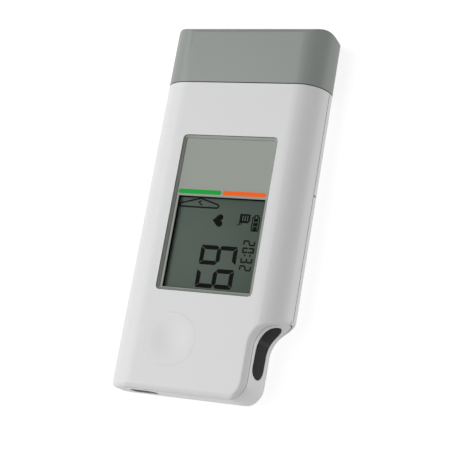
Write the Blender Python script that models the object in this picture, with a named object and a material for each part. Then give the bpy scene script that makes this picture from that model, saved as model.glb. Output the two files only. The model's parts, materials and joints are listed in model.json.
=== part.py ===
"""A pocket one-lead ECG monitor with a pull-off cap, a thumb button, a finger notch and a coin-cell bay.

The monitor lies on its back. X runs across it, Y runs from the port end to the cap end and Z runs from the
back to the display. The origin is the middle of its footprint, on the surface that it lies on. Along Y,
places are first written as distances from the port end, and port_end() turns them into world Y.
"""

import math

import bmesh
import bpy
from mathutils import Matrix, Vector

MM = 0.001

# Housing, driving sizes
BODY_WIDTH = 46.0 * MM
BODY_LENGTH = 98.4 * MM
DISPLAY_ROOM = 5.0 * MM
WIDEST_HEIGHT = 3.85 * MM
FRONT_ROUND = 8.0 * MM
REAR_ROUND = 11.0 * MM
SQUARENESS_SHARE = 2.15
PARTING_HEIGHT = 5.45 * MM
SIDE_WALL = 1.5 * MM
FRONT_WALL = 1.8 * MM
REAR_WALL = 1.3 * MM
SEAM_GAP = 0.16 * MM
SEAT_GAP = 0.15 * MM
SLIDE_GAP = 0.3 * MM
END_FRONT_RADIUS = 1.6 * MM
END_REAR_RADIUS = 2.2 * MM
END_EDGE_RADIUS = 1.45 * MM
LEAST_RADIUS = 0.1 * MM
CORNER_RADIUS = 2.5 * MM
OVERRUN = 2.0 * MM
LEAST_EDGE = 0.02 * MM

# Smoothness of the round stretches
SECTION_STEPS = 12
ARC_STEPS = 6
EDGE_STEPS = 3
CIRCLE_STEPS = 28

# Finger notch, at the lower right corner
NOTCH_DEPTH = 6.3 * MM
NOTCH_CEILING = 16.2 * MM
NOTCH_REAR_RADIUS = 8.0 * MM
NOTCH_FRONT_RADIUS = 6.0 * MM
NOTCH_REAR_RISE_SHARE = 0.85
NOTCH_FRONT_RISE_SHARE = 0.22
NOTCH_CORNER_RADIUS = 5.0 * MM
NOTCH_SHOULDER_RADIUS = 3.0 * MM
NOTCH_SKIM = 0.05 * MM
NOTCH_FLARE = 2.9 * MM
# Height as a share of the housing's thickness, and the flare there as a share of NOTCH_FLARE.
NOTCH_FLARE_SHARES = (
    (1.0, 1.0),
    (0.965, 0.78),
    (0.90, 0.55),
    (0.80, 0.36),
    (0.60, 0.17),
    (0.42, 0.07),
    (0.20, 0.0),
    (0.10, 0.06),
    (0.0, 0.26),
)

# Cap and the nose under it
CAP_LENGTH = 15.8 * MM
CAP_WALL = 1.3 * MM
CAP_END_WALL = 1.3 * MM
NOSE_WALL = 1.1 * MM
CAP_END_CLEARANCE = 0.45 * MM
CAP_CORNER_RADIUS = 2.2 * MM
DETENT_LENGTH = 9.0 * MM
DETENT_WIDTH = 0.9 * MM
DETENT_HEIGHT = 0.14 * MM
DETENT_SETBACK = 5.0 * MM

# Chest electrode on the nose
CHEST_PLATE_THICKNESS = 1.7 * MM
CHEST_PLATE_MARGIN = 1.5 * MM
CHEST_STEM_WIDTH = 6.0 * MM
CHEST_STEM_HEIGHT = 1.6 * MM
CHEST_STEM_LENGTH = 4.6 * MM
CHEST_LEAD_WIDTH = 3.0 * MM
CHEST_LEAD_OVERLAP = 2.0 * MM

# End band, the strip that lines the notch and closes the port end
BAND_LEFT_MARGIN = 5.0 * MM
BAND_SIDE_INSET = 1.2 * MM
BAND_FRONT_DROP = 1.6 * MM
BAND_REAR = 1.65 * MM
BAND_END_RADIUS = 2.0 * MM

# Finger electrode in the band
ELECTRODE_HEIGHT = 5.2 * MM
ELECTRODE_MIDDLE_Z = 6.35 * MM
ELECTRODE_FALL = 0.6 * MM
ELECTRODE_START = 6.2 * MM
ELECTRODE_THICKNESS = 1.75 * MM
ELECTRODE_TOP_RUN = 0.95 * MM
ELECTRODE_STEPS = 8
ELECTRODE_END_STEPS = 4
ELECTRODE_TIP_SHARE = 0.12

# Data port
PORT_MARGIN = 5.8 * MM
PORT_WIDTH = 7.6 * MM
PORT_HEIGHT = 2.7 * MM
PORT_LENGTH = 5.2 * MM
PORT_WALL = 0.35 * MM
PORT_CORNER = 0.6 * MM
PORT_RECESS_WIDTH = 7.8 * MM
PORT_RECESS_HEIGHT = 4.4 * MM
PORT_CLEARANCE = 0.2 * MM
PORT_TONGUE_HEIGHT = 0.6 * MM
PORT_TONGUE_LENGTH = 3.6 * MM

# Display
WINDOW_SIDE_MARGIN = 9.8 * MM
WINDOW_BUTTON_MARGIN = 5.7 * MM
WINDOW_CAP_MARGIN = 14.95 * MM
WINDOW_CORNER = 1.0 * MM
VIEW_CORNER = 0.2 * MM
BEZEL_DROP = 0.05 * MM
BEZEL_WIDTH = 0.75 * MM
BEZEL_SLOPE_HEIGHT = 0.7 * MM
BEZEL_EDGE = 0.1 * MM
LENS_THICKNESS = 0.6 * MM
MASK_THICKNESS = 0.15 * MM
LAYER_GAP = 0.05 * MM
MASK_BORDER = 1.15 * MM
VIEW_LENGTH_SHARE = 0.583
LCD_MARGIN = 1.5 * MM
FRAME_RIB_WIDTH = 1.0 * MM
FRAME_RIB_HEIGHT = 0.7 * MM
HOLDER_WALL = 1.0 * MM
HOLDER_LEDGE = 3.4 * MM
CONNECTOR_WIDTH = 1.8 * MM
CONNECTOR_MARGIN = 2.5 * MM
CONNECTOR_HEIGHT = 0.55 * MM
CONNECTOR_EDGE = 0.7 * MM

# Start button
BUTTON_MARGIN = 16.4 * MM
BUTTON_Y = 13.25 * MM
BUTTON_RADIUS = 6.7 * MM
BUTTON_GAP = 0.15 * MM
BUTTON_DISH = 0.55 * MM
BUTTON_RIM = 0.25 * MM
BUTTON_FLANGE = 0.9 * MM
BUTTON_FLANGE_THICKNESS = 0.7 * MM
BUTTON_SKIN = 1.0 * MM
STEM_RADIUS = 1.6 * MM
SWITCH_WIDTH = 6.0 * MM
SWITCH_HEIGHT = 1.5 * MM
SWITCH_BORE_CLEARANCE = 0.12 * MM
SWITCH_FLOOR = 0.35 * MM
PLUNGER_RADIUS = 1.5 * MM
PLUNGER_PROUD = 0.6 * MM
PLUNGER_SINK = 0.5 * MM
DISH_STEPS = 6

# Circuit board and what it carries
BOARD_THICKNESS = 0.8 * MM
BOARD_BOSS_MARGIN = 0.3 * MM
BOARD_NOTCH_MARGIN = 2.8 * MM
BOARD_START = 2.2 * MM
BOARD_END_MARGIN = 3.6 * MM
BOARD_CORNER = 1.0 * MM
PROCESSOR_SIDE = 7.0 * MM
PROCESSOR_HEIGHT = 0.9 * MM
PROCESSOR_X = 4.5 * MM
PROCESSOR_Y_SHARE = 0.28
AMPLIFIER_WIDTH = 5.0 * MM
AMPLIFIER_LENGTH = 6.4 * MM
AMPLIFIER_HEIGHT = 1.2 * MM
AMPLIFIER_MARGIN = 5.0 * MM
AMPLIFIER_Y_SHARE = 0.70
RADIO_WIDTH = 8.0 * MM
RADIO_LENGTH = 6.0 * MM
RADIO_HEIGHT = 1.3 * MM
RADIO_MARGIN = 3.0 * MM
RADIO_Y_SHARE = 0.74

# Spring leads
LEAD_THICKNESS = 0.25 * MM
FINGER_LEAD_WIDTH = 3.2 * MM
FINGER_LEAD_FOOT = 2.4 * MM
FINGER_LEAD_Y = 9.0 * MM

# Coin cells, their bay and the battery door
CELL_RADIUS = 10.0 * MM
CELL_THICKNESS = 3.2 * MM
CELL_RIM = 0.6 * MM
CELL_LID_THICKNESS = 0.6 * MM
CELL_X = -1.2 * MM
CELL_GAP = 1.2 * MM
CELL_REST = 0.2 * MM
CELL_HEADROOM = 0.42 * MM
BAY_CLEARANCE = 0.3 * MM
BAY_WALL = 0.8 * MM
BAY_START_MARGIN = 1.35 * MM
BAY_END_MARGIN = 2.95 * MM
DECK_THICKNESS = 0.53 * MM
DECK_MARGIN = 0.25 * MM
BULKHEAD_THICKNESS = 1.3 * MM
BULKHEAD_MARGIN = 4.0 * MM
DOOR_START = 6.75 * MM
DOOR_WALL = 1.3 * MM
DOOR_GAP = 0.4 * MM
HOOK_X = 11.0 * MM
HOOK_WIDTH = 5.0 * MM
HOOK_THICKNESS = 0.9 * MM
HOOK_REACH = 1.9 * MM
HOOK_LIFT = 0.3 * MM
HOOK_SLOT_TOP = 3.9 * MM
HOOK_ROOT = 2.0 * MM
TONGUE_WIDTH = 9.0 * MM
TONGUE_LENGTH = 7.5 * MM
TONGUE_SLOT = 0.6 * MM
NAIL_GROOVE_WIDTH = 6.0 * MM
NAIL_GROOVE_RADIUS = 0.9 * MM
NAIL_GROOVE_DEPTH = 0.5 * MM
CONTACT_THICKNESS = 0.2 * MM
MINUS_WIDTH = 5.0 * MM
MINUS_LENGTH = 9.0 * MM
PLUS_WIDTH = 4.0 * MM

# Screws and their posts
UPPER_SCREW_MARGIN = 4.8 * MM
UPPER_SCREW_Y_SHARE = 0.65
LOWER_SCREW_MARGIN = 4.5 * MM
LEFT_SCREW_Y = 17.0 * MM
RIGHT_SCREW_Y = 30.0 * MM
HEAD_RADIUS = 1.7 * MM
HEAD_HEIGHT = 1.1 * MM
SHANK_RADIUS = 0.85 * MM
SHANK_LENGTH = 3.6 * MM
DRIVE_WIDTH = 0.5 * MM
DRIVE_DEPTH = 0.5 * MM
DRIVE_LENGTH = 2.2 * MM
PILOT_RADIUS = 1.0 * MM
POST_RADIUS = 2.1 * MM
BOSS_RADIUS = 3.0 * MM
HEAD_CLEARANCE = 0.3 * MM
UPPER_SEAT_HEIGHT = 3.4 * MM

# Heights and places that follow from the sizes above
CELL_BOTTOM = DOOR_WALL + CELL_REST
CELL_TOP = CELL_BOTTOM + CELL_THICKNESS
CELL_CAN_TOP = CELL_TOP - CELL_LID_THICKNESS
DECK_BOTTOM = CELL_TOP + CELL_HEADROOM
BOARD_BOTTOM = DECK_BOTTOM + DECK_THICKNESS + SEAT_GAP
BOARD_TOP = BOARD_BOTTOM + BOARD_THICKNESS
BODY_THICKNESS = BOARD_TOP + DISPLAY_ROOM
FRONT_INSIDE = BODY_THICKNESS - FRONT_WALL
NOSE_INSET = CAP_WALL + SLIDE_GAP
CAP_SEAM = BODY_LENGTH - CAP_LENGTH
NOSE_END = BODY_LENGTH - CAP_END_WALL - CAP_END_CLEARANCE - CHEST_PLATE_THICKNESS - SEAT_GAP
NOTCH_WALL_X = BODY_WIDTH / 2 - NOTCH_DEPTH
BAND_LEFT_X = BAND_LEFT_MARGIN - BODY_WIDTH / 2
PORT_X = PORT_MARGIN + PORT_WIDTH / 2 - BODY_WIDTH / 2
BUTTON_X = BUTTON_MARGIN - BODY_WIDTH / 2
WINDOW_WIDTH = BODY_WIDTH - 2 * WINDOW_SIDE_MARGIN
WINDOW_START = BUTTON_Y + BUTTON_RADIUS + WINDOW_BUTTON_MARGIN
WINDOW_LENGTH = CAP_SEAM - WINDOW_START - WINDOW_CAP_MARGIN
UPPER_SCREW_X = BODY_WIDTH / 2 - UPPER_SCREW_MARGIN
LOWER_SCREW_X = BODY_WIDTH / 2 - LOWER_SCREW_MARGIN
BOARD_RIGHT_X = UPPER_SCREW_X - BOSS_RADIUS - BOARD_BOSS_MARGIN
BOARD_LEFT_X = -BOARD_RIGHT_X
BOARD_NOTCH_X = NOTCH_WALL_X - SIDE_WALL - BOARD_NOTCH_MARGIN
BOARD_NOTCH_END = NOTCH_CEILING + NOTCH_DEPTH * NOTCH_REAR_RISE_SHARE + SIDE_WALL
BOARD_END = CAP_SEAM - BOARD_END_MARGIN
CELL_SPACING = 2 * CELL_RADIUS + CELL_GAP
FIRST_CELL_Y = DOOR_START + BAY_START_MARGIN + BAY_WALL + BAY_CLEARANCE + CELL_RADIUS
DOOR_END = FIRST_CELL_Y + CELL_SPACING + CELL_RADIUS + BAY_CLEARANCE + BAY_WALL + BAY_END_MARGIN
BAY_END = DOOR_END + DOOR_GAP + BULKHEAD_THICKNESS
BAND_FRONT = BODY_THICKNESS - BAND_FRONT_DROP
BEZEL_TOP = BODY_THICKNESS - BEZEL_DROP
BEZEL_SLOPE_FOOT = BEZEL_TOP - BEZEL_SLOPE_HEIGHT
LENS_TOP = BEZEL_SLOPE_FOOT - LAYER_GAP
LENS_BOTTOM = LENS_TOP - LENS_THICKNESS
BEZEL_BOTTOM = LENS_BOTTOM
MASK_TOP = LENS_BOTTOM - LAYER_GAP
MASK_BOTTOM = MASK_TOP - MASK_THICKNESS
WINDOW_LEDGE = MASK_BOTTOM - LAYER_GAP
FRAME_RIB_BOTTOM = FRONT_INSIDE - FRAME_RIB_HEIGHT
LCD_TOP = FRAME_RIB_BOTTOM - SEAT_GAP
LCD_BOTTOM = BOARD_TOP + CONNECTOR_HEIGHT + 2 * SEAT_GAP
VIEW_WIDTH = WINDOW_WIDTH - 2 * MASK_BORDER
VIEW_START = WINDOW_START + MASK_BORDER
VIEW_LENGTH = WINDOW_LENGTH * VIEW_LENGTH_SHARE
VIEW_MIDDLE = VIEW_START + VIEW_LENGTH / 2
HOLDER_END = VIEW_START + VIEW_LENGTH + LCD_MARGIN + SEAT_GAP + HOLDER_WALL
PORT_MIDDLE_Z = BOARD_BOTTOM + BOARD_THICKNESS / 2
PORT_BACK = SIDE_WALL + SLIDE_GAP + PORT_LENGTH

# Colours as seen in daylight: red, green, blue, roughness and metallic
WHITE_PLASTIC = ("white_plastic", (0.80, 0.80, 0.81), 0.42, 0.0)
BAND_PLASTIC = ("band_plastic", (0.74, 0.74, 0.75), 0.40, 0.0)
GREY_PLASTIC = ("grey_plastic", (0.28, 0.31, 0.28), 0.48, 0.0)
DARK_RUBBER = ("dark_conductive_rubber", (0.035, 0.035, 0.037), 0.55, 0.0)
STEEL = ("steel", (0.62, 0.62, 0.60), 0.28, 1.0)
BRASS = ("gilt_contact", (0.72, 0.56, 0.30), 0.30, 1.0)
CLEAR = ("clear_window", (0.90, 0.93, 0.92), 0.05, 0.0)
MASK_INK = ("mask_ink", (0.33, 0.34, 0.31), 0.45, 0.0)
LCD_GLASS = ("lcd_glass", (0.11, 0.14, 0.12), 0.12, 0.0)
BLACK_PLASTIC = ("black_plastic", (0.03, 0.03, 0.03), 0.50, 0.0)
BOARD_GREEN = ("board_green", (0.03, 0.16, 0.07), 0.45, 0.0)
CONNECTOR_RUBBER = ("connector_rubber", (0.25, 0.25, 0.27), 0.60, 0.0)


def port_end(distance):
    """World Y of a place that lies this far from the port end."""
    return distance - BODY_LENGTH / 2


def clear_scene():
    for old in list(bpy.data.objects):
        bpy.data.objects.remove(old, do_unlink=True)


def new_object(name, bm):
    """An object made from a closed bmesh, with its faces pointing out."""
    bmesh.ops.recalc_face_normals(bm, faces=bm.faces)
    mesh = bpy.data.meshes.new(name)
    bm.to_mesh(mesh)
    bm.free()
    obj = bpy.data.objects.new(name, mesh)
    bpy.context.scene.collection.objects.link(obj)
    return obj


def box(low, high):
    """A block between two corners."""
    low, high = Vector(low), Vector(high)
    bm = bmesh.new()
    bmesh.ops.create_cube(bm, size=1)
    bmesh.ops.transform(bm, verts=bm.verts, matrix=Matrix.Diagonal((high - low).to_4d()))
    bmesh.ops.translate(bm, verts=bm.verts, vec=(low + high) / 2)
    return new_object("block", bm)


def loft(rings):
    """A closed skin through rings of points that all have the same number of points."""
    bm = bmesh.new()
    loops = []
    for ring in rings:
        verts = [bm.verts.new(point) for point in ring]
        edges = [bm.edges.new((verts[i - 1], verts[i])) for i in range(len(verts))]
        loops.append((verts, edges))
    for (_, lower), (_, upper) in zip(loops, loops[1:]):
        bmesh.ops.bridge_loops(bm, edges=lower + upper)
    bm.faces.new(loops[0][0])
    bm.faces.new(loops[-1][0])
    return new_object("loft", bm)


def extruded(outline, low, high, axis):
    """A flat outline given a thickness along axis X, Y or Z."""
    place = {
        "X": lambda a, b, at: (at, a, b),
        "Y": lambda a, b, at: (a, at, b),
        "Z": lambda a, b, at: (a, b, at),
    }[axis]
    return loft([[place(a, b, at) for a, b in outline] for at in (low, high)])


def cylinder(x, y, low, high, radius, steps=CIRCLE_STEPS):
    """An upright round bar."""
    bm = bmesh.new()
    bmesh.ops.create_cone(bm, cap_ends=True, segments=steps, radius1=radius, radius2=radius, depth=high - low)
    bmesh.ops.translate(bm, verts=bm.verts, vec=(x, y, (low + high) / 2))
    return new_object("cylinder", bm)


def turned(profile, x, y, steps=CIRCLE_STEPS):
    """A profile of (radius, height) points, from axis to axis, spun round the upright line through x, y."""
    bm = bmesh.new()
    verts = [bm.verts.new((radius, 0, height)) for radius, height in profile]
    edges = [bm.edges.new(pair) for pair in zip(verts, verts[1:])]
    bmesh.ops.spin(
        bm, geom=verts + edges, cent=(0, 0, 0), axis=(0, 0, 1), angle=math.tau, steps=steps, use_merge=True
    )
    bmesh.ops.remove_doubles(bm, verts=bm.verts, dist=LAYER_GAP / 50)
    bmesh.ops.translate(bm, verts=bm.verts, vec=(x, y, 0))
    return new_object("turned", bm)


def combine(target, other, operation):
    """Applies a Boolean of other to target's mesh, and removes other."""
    modifier = target.modifiers.new("combine", "BOOLEAN")
    modifier.operation = operation
    modifier.object = other
    modifier.solver = "EXACT"
    graph = bpy.context.evaluated_depsgraph_get()
    mesh = bpy.data.meshes.new_from_object(target.evaluated_get(graph))
    target.modifiers.clear()
    target.data = mesh
    bpy.data.objects.remove(other, do_unlink=True)
    return target


def cut(target, *cutters):
    for cutter in cutters:
        combine(target, cutter, "DIFFERENCE")
    return target


def join(target, *others):
    for other in others:
        combine(target, other, "UNION")
    return target


def common(target, other):
    return combine(target, other, "INTERSECT")


def copy_of(obj):
    made = obj.copy()
    made.data = obj.data.copy()
    bpy.context.scene.collection.objects.link(made)
    return made


def arc(centre, radii, start_deg, end_deg, steps, power=2.0):
    """Points along an elliptical arc. A power above 2 squares its shoulder."""
    points = []
    for step in range(steps + 1):
        angle = math.radians(start_deg + (end_deg - start_deg) * step / steps)
        c, s = math.cos(angle), math.sin(angle)
        across = math.copysign(abs(c) ** (2 / power), c)
        along = math.copysign(abs(s) ** (2 / power), s)
        points.append((centre[0] + radii[0] * across, centre[1] + radii[1] * along))
    return points


def rounded_corners(corners, steps=ARC_STEPS):
    """A closed outline from (x, y, radius) corners, each turned into an arc that is tangent to both sides."""
    points = []
    for i, (x, y, radius) in enumerate(corners):
        here = Vector((x, y))
        back = (Vector(corners[i - 1][:2]) - here).normalized()
        ahead = (Vector(corners[(i + 1) % len(corners)][:2]) - here).normalized()
        if radius <= 0:
            points.append(tuple(here))
            continue
        half = back.angle(ahead) / 2
        centre = here + (back + ahead).normalized() * (radius / math.sin(half))
        first = here + back * (radius / math.tan(half)) - centre
        last = here + ahead * (radius / math.tan(half)) - centre
        turn = first.angle_signed(last)
        for step in range(steps + 1):
            share = -turn * step / steps
            c, s = math.cos(share), math.sin(share)
            points.append((centre.x + first.x * c - first.y * s, centre.y + first.x * s + first.y * c))
    return points


def rectangle(x_low, x_high, y_low, y_high, radius, steps=ARC_STEPS):
    corners = ((x_low, y_low), (x_high, y_low), (x_high, y_high), (x_low, y_high))
    return rounded_corners([(x, y, radius) for x, y in corners], steps)


def section(inset):
    """The housing's outline seen along Y, moved inwards by inset."""
    half = BODY_WIDTH / 2
    front_radii = (FRONT_ROUND - inset, BODY_THICKNESS - WIDEST_HEIGHT - inset)
    rear_radii = (REAR_ROUND - inset, WIDEST_HEIGHT - inset)
    front = arc((half - FRONT_ROUND, WIDEST_HEIGHT), front_radii, 0, 90, SECTION_STEPS, SQUARENESS_SHARE)
    rear = arc((half - REAR_ROUND, WIDEST_HEIGHT), rear_radii, -90, 0, SECTION_STEPS, SQUARENESS_SHARE)[:-1]
    right = rear + front
    return right + [(-x, z) for x, z in reversed(right)]


def side_profile(inset, start, end, end_radius):
    """The housing's outline seen along X, from the port end towards the cap."""
    front_radius = max(END_FRONT_RADIUS - inset, LEAST_RADIUS)
    rear_radius = max(END_REAR_RADIUS - inset, LEAST_RADIUS)
    far_radius = max(end_radius - inset, LEAST_RADIUS)
    low, high = inset, BODY_THICKNESS - inset
    return rounded_corners(
        [
            (port_end(start), low, rear_radius),
            (port_end(end), low, far_radius),
            (port_end(end), high, far_radius),
            (port_end(start), high, front_radius),
        ],
        ARC_STEPS // 2,
    )


def notch_shape(share):
    """At a share of the full flare: the wall's X, the ceiling's place there, its slope and the bend's radius."""
    wall = NOTCH_WALL_X - NOTCH_FLARE * share
    ceiling = NOTCH_CEILING + NOTCH_FLARE * share
    slope = NOTCH_REAR_RISE_SHARE + (NOTCH_FRONT_RISE_SHARE - NOTCH_REAR_RISE_SHARE) * share
    radius = NOTCH_REAR_RADIUS + (NOTCH_FRONT_RADIUS - NOTCH_REAR_RADIUS) * share
    return wall, ceiling, slope, radius


def notch_outline(grow, share, shouldered):
    """The empty space of the finger notch and round the corner below it, seen from the front."""
    wall, ceiling, slope, radius = notch_shape(share)
    ceiling += grow * (math.hypot(1, slope) - slope)
    wall -= grow
    shoulder_x = BODY_WIDTH / 2 + NOTCH_SKIM - grow
    shoulder = ceiling + (shoulder_x - wall) * slope
    far_x, far_y = BODY_WIDTH / 2 + OVERRUN, shoulder + NOTCH_SHOULDER_RADIUS + OVERRUN
    fade_x = wall - 2 * NOTCH_CORNER_RADIUS
    if shouldered:
        side = [
            (far_x, port_end(far_y), 0),
            (shoulder_x, port_end(far_y), 0),
            (shoulder_x, port_end(shoulder), NOTCH_SHOULDER_RADIUS),
        ]
    else:
        side = [(far_x, port_end(ceiling + (far_x - wall) * slope), 0)]
    corners = side + [
        (wall, port_end(ceiling), radius + grow),
        (wall, port_end(grow - NOTCH_SKIM), NOTCH_CORNER_RADIUS - grow),
        (fade_x, port_end(grow - NOTCH_SKIM), 0),
        (fade_x, port_end(-OVERRUN), 0),
        (far_x, port_end(-OVERRUN), 0),
    ]
    return rounded_corners(corners)


def notch_space(grow, shouldered=True):
    """The notch as a solid to cut with. It widens towards the front, and a little at the very back."""
    levels = [(height * BODY_THICKNESS, share) for height, share in NOTCH_FLARE_SHARES]
    levels = [(BODY_THICKNESS + OVERRUN, levels[0][1])] + levels + [(-OVERRUN, levels[-1][1])]
    rings = []
    for height, share in levels:
        rings.append([(x, y, height) for x, y in notch_outline(grow, share, shouldered)])
    return loft(rings)


def corner_cutter(x, distance, towards_x, towards_y, radius):
    """What rounds one upright outer corner: a block with a round bar taken out of it."""
    y = port_end(distance)
    centre_x, centre_y = x - towards_x * radius, y - towards_y * radius
    low = (min(centre_x, x + towards_x * OVERRUN), min(centre_y, y + towards_y * OVERRUN), -OVERRUN)
    high = (max(centre_x, x + towards_x * OVERRUN), max(centre_y, y + towards_y * OVERRUN), BODY_THICKNESS + OVERRUN)
    block = box(low, high)
    bar = cylinder(centre_x, centre_y, -2 * OVERRUN, BODY_THICKNESS + 2 * OVERRUN, radius)
    return cut(block, bar)


def housing_solid(inset, start, end, end_radius=LEAST_RADIUS):
    """The housing's form without the notch, moved inwards by inset, from one distance to another."""
    edge = max(END_EDGE_RADIUS - inset, LEAST_RADIUS)
    rings = []
    for step in range(EDGE_STEPS + 1):
        angle = math.pi / 2 * step / EDGE_STEPS
        y = port_end(start) + edge * (1 - math.cos(angle))
        rings.append([(x, y, z) for x, z in section(inset + edge * (1 - math.sin(angle)))])
    rings.append([(x, port_end(end), z) for x, z in section(inset)])
    reach = BODY_WIDTH / 2 + OVERRUN
    return common(loft(rings), extruded(side_profile(inset, start, end, end_radius), -reach, reach, "X"))


def outer_body():
    """The outside of the housing, from the port end to the cap's seam."""
    body = housing_solid(0, 0, CAP_SEAM - SEAM_GAP)
    cut(body, notch_space(0))
    return cut(body, corner_cutter(-BODY_WIDTH / 2, 0, -1, -1, CORNER_RADIUS))


def hollow_body():
    """The outside with its nose, less the room inside both."""
    shell = outer_body()
    nose = extruded(section(NOSE_INSET), port_end(CAP_SEAM - OVERRUN), port_end(NOSE_END), "Y")
    join(shell, nose)
    room = housing_solid(SIDE_WALL, SIDE_WALL, CAP_SEAM - SIDE_WALL)
    cut(room, notch_space(SIDE_WALL))
    slab_low = (-BODY_WIDTH, port_end(0), REAR_WALL)
    slab_high = (BODY_WIDTH, port_end(BODY_LENGTH), FRONT_INSIDE)
    common(room, box(slab_low, slab_high))
    nose_room = extruded(
        section(NOSE_INSET + NOSE_WALL), port_end(CAP_SEAM - SIDE_WALL - OVERRUN), port_end(NOSE_END - NOSE_WALL), "Y"
    )
    return cut(shell, join(room, nose_room))


def half_space(low, high):
    """A block over the whole plan, between two heights."""
    reach = BODY_WIDTH
    return box((-reach, port_end(-OVERRUN), low), (reach, port_end(BODY_LENGTH + OVERRUN), high))


def band_room(gap):
    """The stretch of wall that the end band takes: a strip with round ends, seen along Y, less the inside."""
    reach, depth = BODY_WIDTH, SIDE_WALL + gap
    strip = rectangle(BAND_LEFT_X - gap, reach, BAND_REAR - gap, BAND_FRONT + gap, BAND_END_RADIUS)
    region = extruded(strip, port_end(-OVERRUN), port_end(CAP_SEAM), "Y")
    common(region, extruded(section(BAND_SIDE_INSET - gap), port_end(-2 * OVERRUN), port_end(BODY_LENGTH), "Y"))
    low = (-reach, port_end(depth), -OVERRUN / 2)
    inside = box(low, (reach, port_end(BODY_LENGTH), BODY_THICKNESS + OVERRUN / 2))
    return cut(region, cut(inside, notch_space(depth, False)))


def electrode_station(length):
    """A point this far along the notch's wall, and the direction from there into the housing."""
    share = 0
    wall, ceiling, slope, radius = notch_shape(share)
    turn = math.pi / 2 - math.atan(slope)
    bend = Vector((wall + radius, port_end(ceiling - radius * math.tan(turn / 2))))
    straight = bend.y - port_end(ELECTRODE_START)
    if length <= straight:
        return Vector((wall, port_end(ELECTRODE_START) + length)), Vector((-1, 0))
    angle = min((length - straight) / radius, turn)
    inward = Vector((-math.cos(angle), math.sin(angle)))
    rest = length - straight - angle * radius
    return bend + inward * radius + Vector((math.sin(angle), math.cos(angle))) * rest, inward


def electrode_length():
    """How long the finger electrode is, along the wall."""
    _, ceiling, slope, radius = notch_shape(0)
    turn = math.pi / 2 - math.atan(slope)
    straight = ceiling - radius * math.tan(turn / 2) - ELECTRODE_START
    return straight + turn * radius + ELECTRODE_TOP_RUN


def electrode_ring(length, half, outside, inside):
    """One cross-section of the finger electrode."""
    point, inward = electrode_station(length)
    outer, inner = point + inward * outside, point + inward * inside
    middle = ELECTRODE_MIDDLE_Z + ELECTRODE_FALL * (1 / 2 - length / electrode_length())
    return [
        (outer.x, outer.y, middle - half),
        (outer.x, outer.y, middle + half),
        (inner.x, inner.y, middle + half),
        (inner.x, inner.y, middle - half),
    ]


def electrode_solid(grow, outside, inside):
    """A plate that follows the notch's wall and then its ceiling, with half-round ends."""
    low, high = -grow, electrode_length() + grow
    end = ELECTRODE_HEIGHT / 2 + grow
    lengths = []
    for step in range(ELECTRODE_END_STEPS):
        lengths.append(low + end * (1 - math.cos(math.pi / 2 * step / ELECTRODE_END_STEPS)))
    for step in range(ELECTRODE_STEPS + 1):
        lengths.append(low + end + (high - low - 2 * end) * step / ELECTRODE_STEPS)
    for step in range(ELECTRODE_END_STEPS - 1, -1, -1):
        lengths.append(high - end * (1 - math.cos(math.pi / 2 * step / ELECTRODE_END_STEPS)))
    rings = []
    for length in lengths:
        nearest = min(length - low, high - length, end)
        share = max(ELECTRODE_TIP_SHARE, math.sqrt(1 - (1 - nearest / end) ** 2))
        rings.append(electrode_ring(length, end * share, outside, inside))
    return loft(rings)


def finger_electrode():
    return common(electrode_solid(0, -NOTCH_FLARE, ELECTRODE_THICKNESS), outer_body())


def end_band():
    """The strip that lines the notch and closes the port end, with its two windows."""
    band = common(outer_body(), band_room(0))
    cut(band, electrode_solid(SLIDE_GAP / 2, -NOTCH_FLARE, SIDE_WALL + OVERRUN))
    return cut(band, port_recess())


def port_recess():
    """The oval opening in front of the data port."""
    half_width, half_height = PORT_RECESS_WIDTH / 2, PORT_RECESS_HEIGHT / 2
    hole = rectangle(
        PORT_X - half_width,
        PORT_X + half_width,
        PORT_MIDDLE_Z - half_height,
        PORT_MIDDLE_Z + half_height,
        half_height - LEAST_RADIUS,
        ARC_STEPS,
    )
    return extruded(hole, port_end(-OVERRUN), port_end(SIDE_WALL + OVERRUN), "Y")


def window_outline(shrink):
    half = WINDOW_WIDTH / 2 - shrink
    start, end = WINDOW_START + shrink, WINDOW_START + WINDOW_LENGTH - shrink
    radius = max(WINDOW_CORNER - shrink, LEAST_RADIUS)
    return rectangle(-half, half, port_end(start), port_end(end), radius, 2)


def view_outline():
    """The opening over the liquid crystal."""
    half, end = VIEW_WIDTH / 2, VIEW_START + VIEW_LENGTH
    return rectangle(-half, half, port_end(VIEW_START), port_end(end), VIEW_CORNER, 2)


def screw_places():
    """Each screw's place seen from the front, with the height of the seat under its head."""
    deck_seat = DECK_BOTTOM - SEAT_GAP
    upper_y = port_end(BAY_END + (CAP_SEAM - BAY_END) * UPPER_SCREW_Y_SHARE)
    return {
        "upper_left": (-UPPER_SCREW_X, upper_y, UPPER_SEAT_HEIGHT),
        "upper_right": (UPPER_SCREW_X, upper_y, UPPER_SEAT_HEIGHT),
        "lower_left": (-LOWER_SCREW_X, port_end(LEFT_SCREW_Y), deck_seat),
        "lower_right": (LOWER_SCREW_X, port_end(RIGHT_SCREW_Y), deck_seat),
    }


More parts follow.
